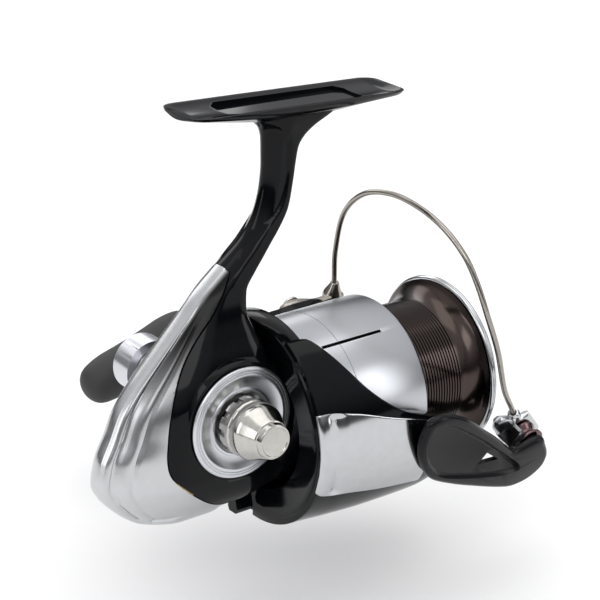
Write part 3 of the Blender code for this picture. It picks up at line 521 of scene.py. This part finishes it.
stem_levels = [level_section(*row, shape=stem_panel) for row in refined(CASE, 130)]
stem = mesh_object(loft(stem_levels), "gearcase_body")
stations = [FOOT_REAR + 9 * (k / 12) ** 2 for k in range(13)] + [float(v) for v in np.linspace(-38, 3, 36)]
stations += [FOOT_FRONT - 9 * (k / 12) ** 2 for k in range(12, -1, -1)]
slope = Vector((1, 0, FOOT_SLOPE)).normalized()
reach, half = POCKET_REACH, POCKET_HALF
pocket = [(-reach, -half + 2), (-reach + 2, -half), (reach - 2, -half), (reach, -half + 2),
          (reach, half - 2), (reach - 2, half), (-reach + 2, half), (-reach, half - 2)]
worked(stem, [
    ("UNION", loft([foot_section(x) for x in stations])),
    ("UNION", lathe([(-31, 0), (-31, 17), (-24, 17), (-23, 16.2), (-23, 0)])),
    ("UNION", lathe([(6, 0), (6, 16.6), (10.6, 16.2), (CASE_HALF, 15.3), (CASE_HALF, 0)], DRIVE, -Y)),
    ("UNION", block((-37.0, -35.2), (-1.9, 1.9), (-20.1, -15.5))),
    ("DIFFERENCE", loft([level_section(*row, (0.76, 0.9), 20) for row in CAVITY])),
    ("DIFFERENCE", rod(14.2, -29.4, -25.0)),
    ("DIFFERENCE", ring(18.5, 30, CUP_REAR, -20)),
    ("DIFFERENCE", rod(6.0, -27, -20)),
    ("DIFFERENCE", rod(13.4, 8, 14, DRIVE, -Y, 96)),
    ("DIFFERENCE", rod(PLATE_R + 0.5, CASE_HALF, 30, DRIVE, -Y, 96)),
    ("DIFFERENCE", rod(6.1, 8, 14, DRIVE, Y)),
    ("DIFFERENCE", rod(0.9, -35.9, -34, (0, 0, -18.5), X, 24)),
    ("DIFFERENCE", seam_cutter(0.3)),
    ("DIFFERENCE", rod(12.6, 3.2, 7.2, DRIVE, Y, 96)),
    ("DIFFERENCE", prism(pocket, SEAT, slope, Y, slope.cross(Y), 0, 6)),
])
dress(stem, "body_frame", "black_paint", edge=0.18, smooth=38)

cover_rows = [row for row in refined(CASE, 150) if row[0] < 45]
cover_levels = [level_section(*row, count=90, shape=tail_ridges) for row in cover_rows]
cover = mesh_object(loft(cover_levels), "tail_cover")
worked(cover, [
    ("INTERSECT", seam_cutter(0.0)),
    ("DIFFERENCE", loft([level_section(*row, (0.76, 0.9), 20) for row in CAVITY])),
    ("DIFFERENCE", rod(1.9, -22, -17.6, (-47.6, 0, 0), Z, 32)),
    ("DIFFERENCE", rod(1.9, -22, -17.6, (-54.4, 0, 0), Z, 32)),
])
dress(cover, "rear_cover", "chrome", "cover_plating", edge=0.2, smooth=38)
# Painted reflection: the cover plating darkens towards the top as painted shade, and its narrow edge stays
# bright as a painted rim.
painted_reflection_upward(LOOK["cover_plating"], 2.0, 30.0, 0.03, (1.7, 3.4))

plate = [(9.6, 6.1), (9.6, 13.1), (12.0, 13.1), (12.0, PLATE_R), (12.45, PLATE_R), (12.75, 14.2),
         (12.8, 13.9), (12.8, 13.55), (12.62, 13.5), (12.62, 13.35), (12.8, 13.3), (12.8, 12.95),
         (12.62, 12.9), (12.62, 12.75), (12.8, 12.7), (12.8, 12.1), (12.7, 11.9), (12.2, 10.9), (11.95, 9.4),
         (11.9, 8.9), (12.3, 8.75), (12.3, 8.1), (12.1, 7.9), (12.1, 7.7), (11.7, 7.7), (11.7, 6.1)]
dress(mesh_object(lathe(plate, DRIVE, -Y), "gear_side_plate"), "side_plate", "satin_aluminium", "side_satin",
      0.05)


# ---- Screw cap --------------------------------------------------------------------------------------------
barrel = [(8.4, 0), (8.4, 2.4), (12.3, 2.4), (12.3, 5.7), (13.2, 6.4), (16.2, 6.6), (16.8, 6.8), (17.0, 7.2),
          (17.3, 7.3), (19.4, 7.2), (19.9, 7.0), (20.4, 6.75), (23.2, 5.4), (24.2, 5.0), (24.5, 4.85),
          (24.55, 4.6), (24.8, 4.55), (26.0, 4.45), (26.2, 4.2), (26.2, 3.7), (26.0, 3.6), (26.0, 0)]
cap = mesh_object(lathe(barrel, DRIVE, -Y), "handle_screw_cap")
flats = [(12.5, 0), (12.5, 5.9), (13.1, 7.5), (16.4, 7.5), (16.9, 7.2), (16.9, 0)]
notch = [(6.7, -0.7), (8.9, -1.0), (8.9, 1.0), (6.7, 0.7)]
notches = []
for k in range(10):
    turn = math.radians(36 * k)
    spoke = math.cos(turn) * X + math.sin(turn) * Z
    notches.append(prism(notch, DRIVE, spoke, spoke.cross(Y), -Y, 12.0, 15.4))
crown = mesh_object(lathe(flats, DRIVE, -Y, 20), "handle_screw_crown")
worked(crown, [("DIFFERENCE", cutter) for cutter in notches])
dress(crown, "screw_cap", "steel", edge=0.12, smooth=12)
dress(cap, "screw_cap", "steel", edge=0.06)

shaft_collar = [(12.0, 3.9), (12.0, 7.6), (12.8, 7.6), (13.3, 7.0), (13.3, 3.9)]
dress(mesh_object(lathe(shaft_collar, DRIVE, Y), "handle_collar"), "shaft_collar", "satin_aluminium",
      "side_satin")
shank = [(2.0, 0), (2.0, 2.4), (13.8, 2.4), (13.8, 4.6), (14.4, 5.4), (15.0, 5.6), (20.0, 5.7), (23.0, 5.0),
         (34.6, 4.8), (34.6, 6.0), (36.0, 6.0), (36.8, 5.0), (36.8, 3.0), (36.5, 2.8), (36.5, 0)]
dress(mesh_object(lathe(shank, DRIVE, Y), "handle_hub"), "handle_shank", "satin_aluminium", "side_satin")
arm = mesh_object(ring(5.1, 7.6, 27.5, 34.2, DRIVE, Y), "handle_crank")
start, end = DRIVE + 30.8 * Y, KNOB + 67.6 * Y
across = (KNOB - DRIVE).normalized()
route = rounded([start + 5.4 * across, start + 10 * across + 3 * Y, start + 22 * across + 19 * Y,
                 end - 5 * across - 4.5 * Y, end - 2.4 * across], 10, cyclic=False)
boss = [(64.5, 0), (64.55, 1.0), (64.7, 2.0), (65.05, 3.0), (65.6, 3.9), (66.3, 4.6), (67.2, 5.1),
        (68.1, 5.45), (69.0, 5.65), (70.1, 5.8), (70.1, 0)]
worked(arm, [
    ("UNION", sweep(route, (4.3, 3.2), (2.4, 1.9), across.cross(Y), 40)),
    ("UNION", lathe(boss, KNOB, Y)),
    ("DIFFERENCE", rod(2.2, 65.8, 78, KNOB, Y)),
    ("DIFFERENCE", rod(5.1, 20, 40, DRIVE, Y)),
])
dress(arm, "handle_arm", "satin_aluminium", "side_satin", edge=0.2, smooth=40, steps=3)
dress(mesh_object(rod(1.9, 66.1, 81.8, KNOB, Y), "handle_knob_pin"), "knob_pin", "steel")
dome = [(70.4, 2.3), (70.4, 5.0), (70.6, 5.3), (71.0, 5.55), (71.5, 5.72), (72.1, 5.85), (72.7, 5.93),
        (73.2, 5.97), (73.25, 5.8), (73.4, 5.8), (73.45, 6.0), (75.0, 6.0), (75.0, 2.3)]
dress(mesh_object(lathe(dome, KNOB, Y), "handle_knob_dome"), "knob_ferrule", "satin_aluminium", "side_satin",
      0.05)
half_bar = [(-1, 0), (-0.995, 0.2), (-0.985, 0.35), (-0.96, 0.53), (-0.92, 0.7), (-0.86, 0.84),
            (-0.78, 0.93), (-0.65, 1.0), (-0.5, 1.03), (-0.25, 1.0)]
whole_bar = half_bar + [(0, 0.98)] + [(-s, r) for s, r in reversed(half_bar)]
bar = [(s * BAR_HALF, r * BAR_R) for s, r in whole_bar]
grip = mesh_object(lathe(bar, KNOB + BAR_Y * Y, BAR_DIR, 72), "handle_knob_grip")
waist = [(73.0, 0), (73.0, 7.0), (74.5, 7.35), (76.0, 7.4), (78, 7.0), (80, 6.0), (80, 0)]
worked(grip, [("UNION", lathe(waist, KNOB, Y))])
soften = grip.modifiers.new("soften", "REMESH")
soften.mode = "VOXEL"
soften.voxel_size = 0.45 * MM
calm = grip.modifiers.new("calm", "SMOOTH")
calm.factor = 0.5
calm.iterations = 8
settle(grip)
worked(grip, [
    ("DIFFERENCE", rod(6.4, 66, 75.3, KNOB, Y)),
    ("DIFFERENCE", rod(4.1, 70, 79.2, KNOB, Y)),
    ("DIFFERENCE", rod(2.3, 75, 82.2, KNOB, Y)),
])
dress(grip, "knob_grip", "grip_rubber", edge=0.0, smooth=50)


# ---- Rotor ------------------------------------------------------------------------------------------------
def panel(stations, steps, turned=0.0, relief=None):
    """A curved plate about the shaft.

    Each station is (x, upper angle, lower angle, inner radius, outer radius), in degrees from -y towards +z.
    """
    sections = []
    for x, high, low, inner, outer in stations:
        section = []
        for radius, start, end, lift in ((outer, low, high, True), (inner, high, low, False)):
            for k in range(steps + 1):
                share = k / steps
                t = math.radians(start + (end - start) * share + turned)
                r = radius + (relief(x, share) if relief and lift else 0.0)
                section.append(Vector((x, -r * math.cos(t), r * math.sin(t))))
        sections.append(section)
    return loft(sections)


ARM = [
    (-27.6, 62, -92, 25.5, 28.3), (-22.5, 60, -88, 25.5, 28.6), (-19.0, 49, -80, 24.8, 28.9),
    (-15.7, 37, -73, 24.4, 29.1), (-12.4, 27, -68, 24.4, 29.3), (-7.9, 18, -64, 24.4, 29.5),
    (-2.0, 10, -60, 24.4, 29.6), (4.0, 5, -56, 24.6, 29.6), (9.0, 1, -50, 25.0, 29.6),
    (12.0, -3, -44, 25.4, 29.4), (14.0, -9, -36, 25.8, 29.0),
]
FAR_ARM = [
    (-27.6, 55, -50, 25.5, 28.3), (-22.5, 52, -46, 25.5, 28.6), (-19.0, 45, -34, 24.8, 28.9),
    (-15.7, 37, -31, 24.4, 29.1), (-12.4, 30, -29, 24.4, 29.3), (-7.9, 24, -28, 24.4, 29.5),
    (-2.0, 16, -28, 24.4, 29.6), (4.0, 8, -29, 24.6, 29.6), (9.0, 0, -29, 25.0, 29.6),
    (12.0, -6, -28, 25.4, 29.4), (14.0, -10, -26, 25.8, 29.0),
]
COVER = [
    (-28.6, 21, -21, 0, 29.2), (-27.6, 21, -22, 0, 29.9), (-18.0, 17, -26, 0, 30.3),
    (-8.0, 10.5, -30, 0, 30.7), (2.0, 4.5, -33, 0, 30.9), (4.9, 2.6, -34, 0, 30.9), (5.7, 2.0, -34, 0, 30.6),
]
FAR_COVER = [(x, high, -21 - 0.11 * (x + 28.6), inner, outer) for x, high, _, inner, outer in COVER]

cup = [(CUP_REAR + 0.3, 19.0), (CUP_REAR + 0.3, 24.4), (CUP_REAR, 25.3), (CUP_REAR, 26.6),
       (CUP_REAR + 0.6, CUP_R), (CUP_FRONT - 0.6, CUP_R), (CUP_FRONT, 26.5), (CUP_FRONT, 24.4),
       (CUP_WEB, 24.4), (CUP_WEB, NOSE_R), (-10.2, NOSE_R), (-9.5, 19.6), (-9.5, 3.4), (-11.5, 3.4),
       (-11.5, 19.0)]
casing = mesh_object(lathe(cup), "rotor_body")
work = []
for turned, table in ((0, ARM), (180, FAR_ARM)):
    work.append(("UNION", panel(refined(table, 48), 48, turned)))
for sign in (-1, 1):
    work.append(("DIFFERENCE", rod(1.9, 22, 34, PIVOT, sign * ARM_A, 32)))
worked(casing, work)
dress(casing, "rotor_casing", "black_paint", edge=0.35, smooth=40, steps=3)


def fold(x, share):
    """The upright hollow near the rear end of an arm cover."""
    return -0.8 * math.exp(-(((x + 23.2) / 1.7) ** 2)) * ease(share / 0.04) * ease((1 - share) / 0.04)


for side, turned, arm_table, cover_table in (("near", 0, ARM, COVER), ("far", 180, FAR_ARM, FAR_COVER)):
    rows = []
    for x, high, low, _, outer in refined(cover_table, 70):
        inner = monotone([(row[0], row[4]) for row in arm_table], max(x, -27.6)) + 0.3
        rows.append((x, high, low, inner, outer))
    made = mesh_object(panel(rows, 40, turned, fold), f"rotor_arm_trim_{side}")
    dress(made, f"arm_cover_{side}", "chrome", edge=0.16, smooth=40)
dress(mesh_object(ring(3.8, 6.6, -9.2, -6.0, seg=6), "rotor_hex_nut"), "rotor_nut", "steel", edge=0.25)
pivot = [(25.8, 0), (25.8, 1.5), (33.8, 1.5), (33.8, 2.6), (34.4, 2.6), (34.8, 2.2), (34.8, 1.4),
         (34.3, 1.2), (34.3, 0)]
dress(mesh_object(lathe(pivot, PIVOT, ARM_A, 64), "bail_pivot_far"), "pivot_screw_far", "steel")


# ---- Bail -------------------------------------------------------------------------------------------------
def plane_loop(points, height, origin=Vector(), first=X, second=ARM_V, normal=ARM_A):
    return [origin + p.x * first + p.y * second + height * normal for p in points]


def shrunk(points, amount):
    """The closed line moved inwards by the amount."""
    count = len(points)
    pairs = [(points[i], points[(i + 1) % count]) for i in range(count)]
    area = sum(p.x * q.y - q.x * p.y for p, q in pairs)
    way = 1 if area > 0 else -1
    made = []
    for i, p in enumerate(points):
        along = (points[(i + 1) % count] - points[i - 1]).normalized()
        made.append(p + amount * way * Vector((-along.y, along.x, 0)))
    return made


LEVER = [(0.4, 14.5), (-0.9, 10.2), (-0.6, 5.7), (1.5, 0.2), (5.9, -5.8), (14.2, -10.6), (23.6, -14.8),
         (31.5, -18.0), (37.3, -19.6), (42.9, -18.8), (46.9, -15.8), (47.7, -11.8), (45.9, -7.8),
         (43.2, -4.7), (35.0, -6.0), (31.5, -3.9), (27.2, 0.0), (21.6, 4.6), (16.2, 9.1), (11.6, 12.3),
         (5.5, 15.2)]
line = rounded([(p, q, 0) for p, q in LEVER], 8)
profile = [(0.35, 31.2), (0.0, 31.6), (0.0, 32.3), (0.12, 32.8), (0.4, 33.2), (0.85, 33.48), (1.4, 33.6)]
lever = mesh_object(loft([plane_loop(shrunk(line, inset), -height) for inset, height in profile]),
                    "bail_arm")
HOLLOW = [(1.9, 13.0), (0.9, 10.0), (0.9, 6.2), (2.6, 1.0), (6.2, -3.8), (10.5, -6.6), (16.0, -8.8),
          (24.0, -11.4), (32.0, -13.4), (37.6, -13.6), (37.4, -11.6), (33.5, -7.9), (27.5, -2.8),
          (21.5, 2.2), (15.5, 6.8), (9.5, 11.0), (5.0, 13.0)]
hollow = rounded([(p, q, 0) for p, q in HOLLOW], 6)
dish = [(-0.5, 34.2), (0.0, 33.6), (0.3, 33.2), (0.7, 32.8), (1.1, 32.55)]
worked(lever, [
    ("DIFFERENCE", loft([plane_loop(shrunk(hollow, inset), -height) for inset, height in dish])),
    ("DIFFERENCE", prism([(22.2, -7.0), (24.5, -3.7), (29.5, -7.6)], (0, 0, 0), X, ARM_V, ARM_A, -36, -29)),
    ("DIFFERENCE", rod(1.8, 20, 32.3, PIVOT, -ARM_A, 32)),
])
dress(lever, "bail_lever", "dark_alloy", edge=0.2, smooth=30, steps=3)
tip = math.radians(-25.6)
BRACKET_S = math.cos(tip) * X + math.sin(tip) * ARM_V
BRACKET_W = -math.sin(tip) * X + math.cos(tip) * ARM_V
BRACKET = 41.0 * X - 6.6 * ARM_V
ROLLER = BRACKET + 2.0 * BRACKET_S - 0.8 * BRACKET_W
WIRE = [(39.8, -25.2, -2.7), (37.2, -25.1, 1.6), (32.6, -24.8, 9.1), (27.1, -23.7, 22.4),
        (23.8, -19.9, 31.9), (22.0, -15.1, 39.2), (20.8, -9.5, 44.3), (19.9, -1.1, 47.2), (18.8, 8.2, 47.7),
        (17.4, 17.6, 45.9), (16.6, 26.4, 40.2), (17.1, 32.5, 29.8), (18.9, 34.1, 16.1), (20.7, 33.6, 5.6)]
course = rounded([x * X + a * ARM_A + v * ARM_V for x, a, v in WIRE], 10, cyclic=False)
wire = bpy.data.curves.new("bail_loop", "CURVE")
wire.dimensions = "3D"
wire.bevel_depth = WIRE_R * MM
wire.bevel_resolution = 8
wire.use_fill_caps = True
spline = wire.splines.new("POLY")
spline.points.add(len(course) - 1)
for point, place in zip(spline.points, course):
    point.co = (*((place - SEAT) * MM), 1)
wire_object = bpy.data.objects.new("bail_loop_curve", wire)
bpy.context.scene.collection.objects.link(wire_object)
bpy.context.view_layer.update()
wire_mesh = bpy.data.meshes.new_from_object(wire_object.evaluated_get(bpy.context.evaluated_depsgraph_get()))
bpy.data.objects.remove(wire_object, do_unlink=True)
loop = bpy.data.objects.new("bail_loop", wire_mesh)
bpy.context.scene.collection.objects.link(loop)
dress(loop, "bail_wire", "titanium", edge=0.0, smooth=50)
holder_at = 20.9 * X + 0.4 * ARM_V + 33.3 * ARM_A
LINK = [(3.8, -2.8), (7.5, -3.8), (13.0, -3.4), (20.0, -2.8), (23.0, -1.8), (23.6, 0.4), (22.6, 2.2),
        (15.0, 1.7), (10.6, 2.8), (7.5, 3.4), (3.8, 2.8), (2.6, 0.5)]
link = rounded([(p, q, 0) for p, q in LINK], 6)
layers = [(0.3, 31.3), (0.0, 31.7), (0.0, 32.8), (0.2, 33.2), (0.6, 33.5)]
holder = mesh_object(loft([plane_loop(shrunk(link, inset), height) for inset, height in layers]),
                     "bail_far_link")
bell = [(-1.6, 0), (-1.6, 2.1), (-0.9, 2.5), (0.0, 2.7), (1.0, 2.65), (1.8, 2.4), (3.4, 1.6), (4.6, 1.2),
        (4.9, 1.0), (4.9, 0)]
worked(holder, [
    ("DIFFERENCE", rod(1.8, 20, 40, PIVOT, ARM_A, 32)),
    ("UNION", lathe(bell, holder_at, ARM_V, 64)),
])
dress(holder, "bail_holder", "titanium", edge=0.12, smooth=40)
shield = [(-10.3, 0.8), (-8.6, -1.4), (-1.6, -4.9), (4.5, -4.6), (10.2, -2.4), (10.4, -0.6), (9.2, 1.9),
          (0.8, 5.6), (-1.9, 3.7), (-9.2, 2.6)]
shield = [Vector((p, q, 0)) for p, q in shield]
plates = [plane_loop(shrunk(shield, inset), height, BRACKET, BRACKET_S, BRACKET_W, ARM_A)
          for inset, height in ((0.9, -26.2), (0.0, -25.5), (0.0, -24.9), (0.7, -24.2))]
bracket = mesh_object(loft(plates), "bail_roller_bracket")
socket = course[1] - course[0]
rear_web = [(-5.6, -3.0), (-3.2, -3.0), (-3.2, 2.0), (-5.6, 2.0)]
worked(bracket, [
    ("UNION", prism(rear_web, BRACKET, BRACKET_S, BRACKET_W, ARM_A, -30.9, -25.0)),
    ("DIFFERENCE", rod(1.5, 20, 40, ROLLER, -ARM_A, 48)),
    ("UNION", lathe([(0, 0), (0, 1.7), (1.9, 1.7), (2.6, 1.35), (2.6, 0)], course[0], socket, 48)),
    ("DIFFERENCE", rod(1.0, -0.8, 4, course[0], socket, 48)),
])
dress(bracket, "roller_bracket", "chrome", edge=0.14, smooth=20)
groove = [(26.6, 1.6), (26.6, 4.1), (26.7, 4.2), (27.2, 4.2), (27.6, 3.8), (28.2, 3.4), (28.3, 3.3),
          (29.0, 3.3), (29.1, 3.4), (29.7, 3.9), (30.0, 4.2), (30.5, 4.2), (30.6, 4.1), (30.6, 1.6)]
dress(mesh_object(lathe(groove, ROLLER, -ARM_A, 80), "bail_line_roller"), "line_roller", "bronze_coating",
      edge=0.05)
dress(mesh_object(rod(1.2, 24.6, 30.9, ROLLER, -ARM_A, 48), "bail_roller_pin"), "roller_pin", "steel")


# ---- Spool ------------------------------------------------------------------------------------------------
GROOVES, FIRST_GROOVE, GROOVE_PITCH = 16, 11.6, 0.88
drum = [(3.0, 16.6), (3.0, DRUM_R), (SKIRT_FRONT + 0.9, DRUM_R)]
for k in range(GROOVES):
    base = FIRST_GROOVE + GROOVE_PITCH * k
    drum += [(base - 0.2, DRUM_R), (base - 0.1, DRUM_R - 0.3), (base + 0.1, DRUM_R - 0.3),
             (base + 0.2, DRUM_R)]
drum += [(25.4, DRUM_R), (26.5, 18.25), (27.6, 18.55), (28.6, 19.0), (29.6, 19.75), (30.3, 20.5),
         (30.6, 20.9), (30.75, 21.2), (31.2, 22.2), (31.2, 13.6), (19.0, 13.6), (19.0, 2.4), (16.0, 2.4),
         (16.0, 16.6)]
# Painted shade: the drum's finish is darkened in a narrow band inside each groove.
painted_groove_shade(LOOK["grooved_alloy"], FIRST_GROOVE, GROOVE_PITCH, GROOVES, 0.1)
dress(mesh_object(lathe(drum, seg=192), "spool_barrel"), "spool_drum", "brown_alloy", "grooved_alloy", 0.0,
      30)
skirt = [(SKIRT_REAR, 21.9), (SKIRT_REAR, 22.75), (SKIRT_REAR + 0.25, LIP_R), (-10.35, LIP_R),
         (-10.28, 22.86), (-10.12, 22.86), (-10.05, LIP_R), (SKIRT_FRONT - 0.5, LIP_R),
         (SKIRT_FRONT - 0.1, 22.8), (SKIRT_FRONT, 22.5), (SKIRT_FRONT, DRUM_R + 0.3),
         (SKIRT_FRONT - 1.6, DRUM_R + 0.3), (SKIRT_FRONT - 1.6, 21.9)]
sleeve = mesh_object(lathe(skirt, seg=192), "spool_sleeve")
slot_turn = math.radians(59)
radial = -math.cos(slot_turn) * Y + math.sin(slot_turn) * Z
slot = [(-15.4, -0.45), (3.1, -0.45), (3.1, 0.45), (-15.4, 0.45)]
worked(sleeve, [("DIFFERENCE", prism(slot, (0, 0, 0), X, radial.cross(X), radial, 20, 25))])
dress(sleeve, "spool_skirt", "satin_aluminium", edge=0.0, smooth=30)
lip = [(31.5, 20.4), (31.5, 22.4), (31.6, 22.7), (31.9, 22.95), (LIP_X - 0.1, LIP_R), (LIP_X + 0.05, 22.9),
       (LIP_X + 0.2, 22.9), (LIP_X + 0.35, LIP_R), (LIP_X + 0.7, 22.95), (LIP_X + 0.95, 22.75),
       (LIP_X + 1.1, 22.4), (LIP_X + 1.1, 21.0), (LIP_X + 0.9, 20.4)]
dress(mesh_object(lathe(lip, seg=192), "spool_rim"), "spool_lip", "chrome", edge=0.04)
face = [(25.2, 2.4), (25.2, 12.4), (26.0, 13.1), (33.2, 13.1), (34.0, 12.95), (34.6, 12.6), (35.1, 12.1),
        (35.4, 11.6), (35.4, 10.2), (34.6, 9.8), (34.6, 4.4), (36.5, 4.4), (36.5, 2.4)]
dial = mesh_object(lathe(face), "drag_dial")
nick = [(12.75, -0.22), (13.6, -0.4), (13.6, 0.4), (12.75, 0.22)]
nicks = []
for k in range(36):
    turn = math.radians(10 * k)
    spoke = math.cos(turn) * Y + math.sin(turn) * Z
    nicks.append(prism(nick, (0, 0, 0), spoke, spoke.cross(X), X, 27.2, 32.4))
worked(dial, [
    ("UNION", block((33.6, 37.4), (-11.2, 11.2), (-1.7, 1.7))),
    ("DIFFERENCE", rod(2.4, 20, 36.5)),
    ("DIFFERENCE", rod(2.4, 36.4, 39)),
    ("DIFFERENCE", joined(*nicks)),
])
dress(dial, "drag_knob", "satin_aluminium", edge=0.15)


# ---- The nodes whose own shape stays ----------------------------------------------------------------------
shown = {o.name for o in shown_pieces()}
TOOTHED = ("drive_gear", "pinion", "oscillation_gear", "oscillation_pinion", "click_wheel")
SLOTS = {part["node"]: part["material_slot"] for part in frame["record"]["subparts"]}
for name, node in frame["nodes"].items():
    if node.name not in shown:
        continue
    node.data.materials.clear()
    node.data.materials.append(LOOK[SLOTS[name]])
    if name in TOOTHED:
        continue
    bevel = node.modifiers.new("edges", "BEVEL")
    bevel.width = 0.12 * MM
    bevel.segments = 2
    bevel.limit_method = "ANGLE"
    bevel.angle_limit = math.radians(35)


# ---- Floor, light and camera ------------------------------------------------------------------------------
# The floor lies this far below the drive axis, under the handle, knob and closed bail at every turn.
SWEEP = 57.0
FLOOR_RADIUS = 0.9
floor_at = (0.0, 0.0, (DRIVE.z - SWEEP - SEAT.z) * MM)
bpy.ops.mesh.primitive_circle_add(vertices=96, radius=FLOOR_RADIUS, fill_type="NGON", location=floor_at)
floor = bpy.context.object
floor.name = "floor"
paint = bpy.data.materials.new("floor_white")
paint.use_nodes = True
paint.node_tree.nodes["Principled BSDF"].inputs["Base Color"].default_value = (0.92, 0.92, 0.92, 1)
paint.node_tree.nodes["Principled BSDF"].inputs["Roughness"].default_value = 0.9
floor.data.materials.append(paint)


def softbox(name, at, size, power, aim=(0.0, 0.0, -0.05)):
    data = bpy.data.lights.new(name, "AREA")
    data.shape = "RECTANGLE"
    data.size, data.size_y = size
    data.energy = power
    light = bpy.data.objects.new(name, data)
    light.location = at
    light.rotation_euler = (Vector(aim) - Vector(at)).to_track_quat("-Z", "Y").to_euler()
    bpy.context.scene.collection.objects.link(light)


softbox("key", (-0.8, -0.9, 0.9), (0.9, 0.6), 4.0)
softbox("top", (0.1, 0.1, 1.3), (1.6, 1.2), 6.0)
softbox("left_strip", (-1.3, 0.1, 0.35), (0.35, 0.9), 2.5)
softbox("right_strip", (0.9, -0.9, 0.3), (0.3, 0.8), 2.0)
softbox("back_rim", (0.2, 1.3, 0.6), (1.4, 0.5), 3.5)

world = bpy.data.worlds.new("studio")
world.use_nodes = True
nodes, links = world.node_tree.nodes, world.node_tree.links
background = nodes["Background"]
direction = nodes.new("ShaderNodeTexCoord")
height = nodes.new("ShaderNodeSeparateXYZ")
levels = nodes.new("ShaderNodeMapRange")
levels.inputs["From Min"].default_value = -1
shades = nodes.new("ShaderNodeValToRGB")
shades.color_ramp.elements[0].color = (0.5, 0.5, 0.5, 1)
shades.color_ramp.elements[1].color = (1.0, 1.0, 1.0, 1)
for place, shade in ((0.4, 0.05), (0.52, 0.04), (0.6, 0.35), (0.7, 0.7)):
    step = shades.color_ramp.elements.new(place)
    step.color = (shade, shade, shade * 1.03, 1)
links.new(direction.outputs["Generated"], height.inputs["Vector"])
links.new(height.outputs["Z"], levels.inputs["Value"])
links.new(levels.outputs["Result"], shades.inputs["Fac"])
links.new(shades.outputs["Color"], background.inputs["Color"])
white = nodes.new("ShaderNodeBackground")
white.inputs["Color"].default_value = (1, 1, 1, 1)
mix = nodes.new("ShaderNodeMixShader")
seen = nodes.new("ShaderNodeLightPath")
links.new(seen.outputs["Is Camera Ray"], mix.inputs["Fac"])
links.new(background.outputs["Background"], mix.inputs[1])
links.new(white.outputs["Background"], mix.inputs[2])
links.new(mix.outputs["Shader"], nodes["World Output"].inputs["Surface"])
bpy.context.scene.world = world
bpy.context.scene.view_settings.view_transform = "Standard"

# The camera was fitted to the photo's outline. Its place is in metres and its roll in degrees.
CAMERA_AT, CAMERA_ROLL = (-0.3045, -0.4133, 0.1581), 0.22
camera = bpy.data.objects.new("camera", bpy.data.cameras.new("camera"))
camera.data.sensor_width = 36
camera.data.lens = 133.5
back = Vector((-0.554, -0.742, 0.377)).normalized()
right = Vector((0.801, -0.598, 0)).normalized()
right = (right - right.dot(back) * back).normalized()
up = back.cross(right)
roll = math.radians(CAMERA_ROLL)
right, up = math.cos(roll) * right + math.sin(roll) * up, math.cos(roll) * up - math.sin(roll) * right
basis = Matrix((right, up, back)).transposed().to_4x4()
camera.matrix_world = Matrix.Translation(CAMERA_AT) @ basis
bpy.context.scene.collection.objects.link(camera)
bpy.context.scene.camera = camera
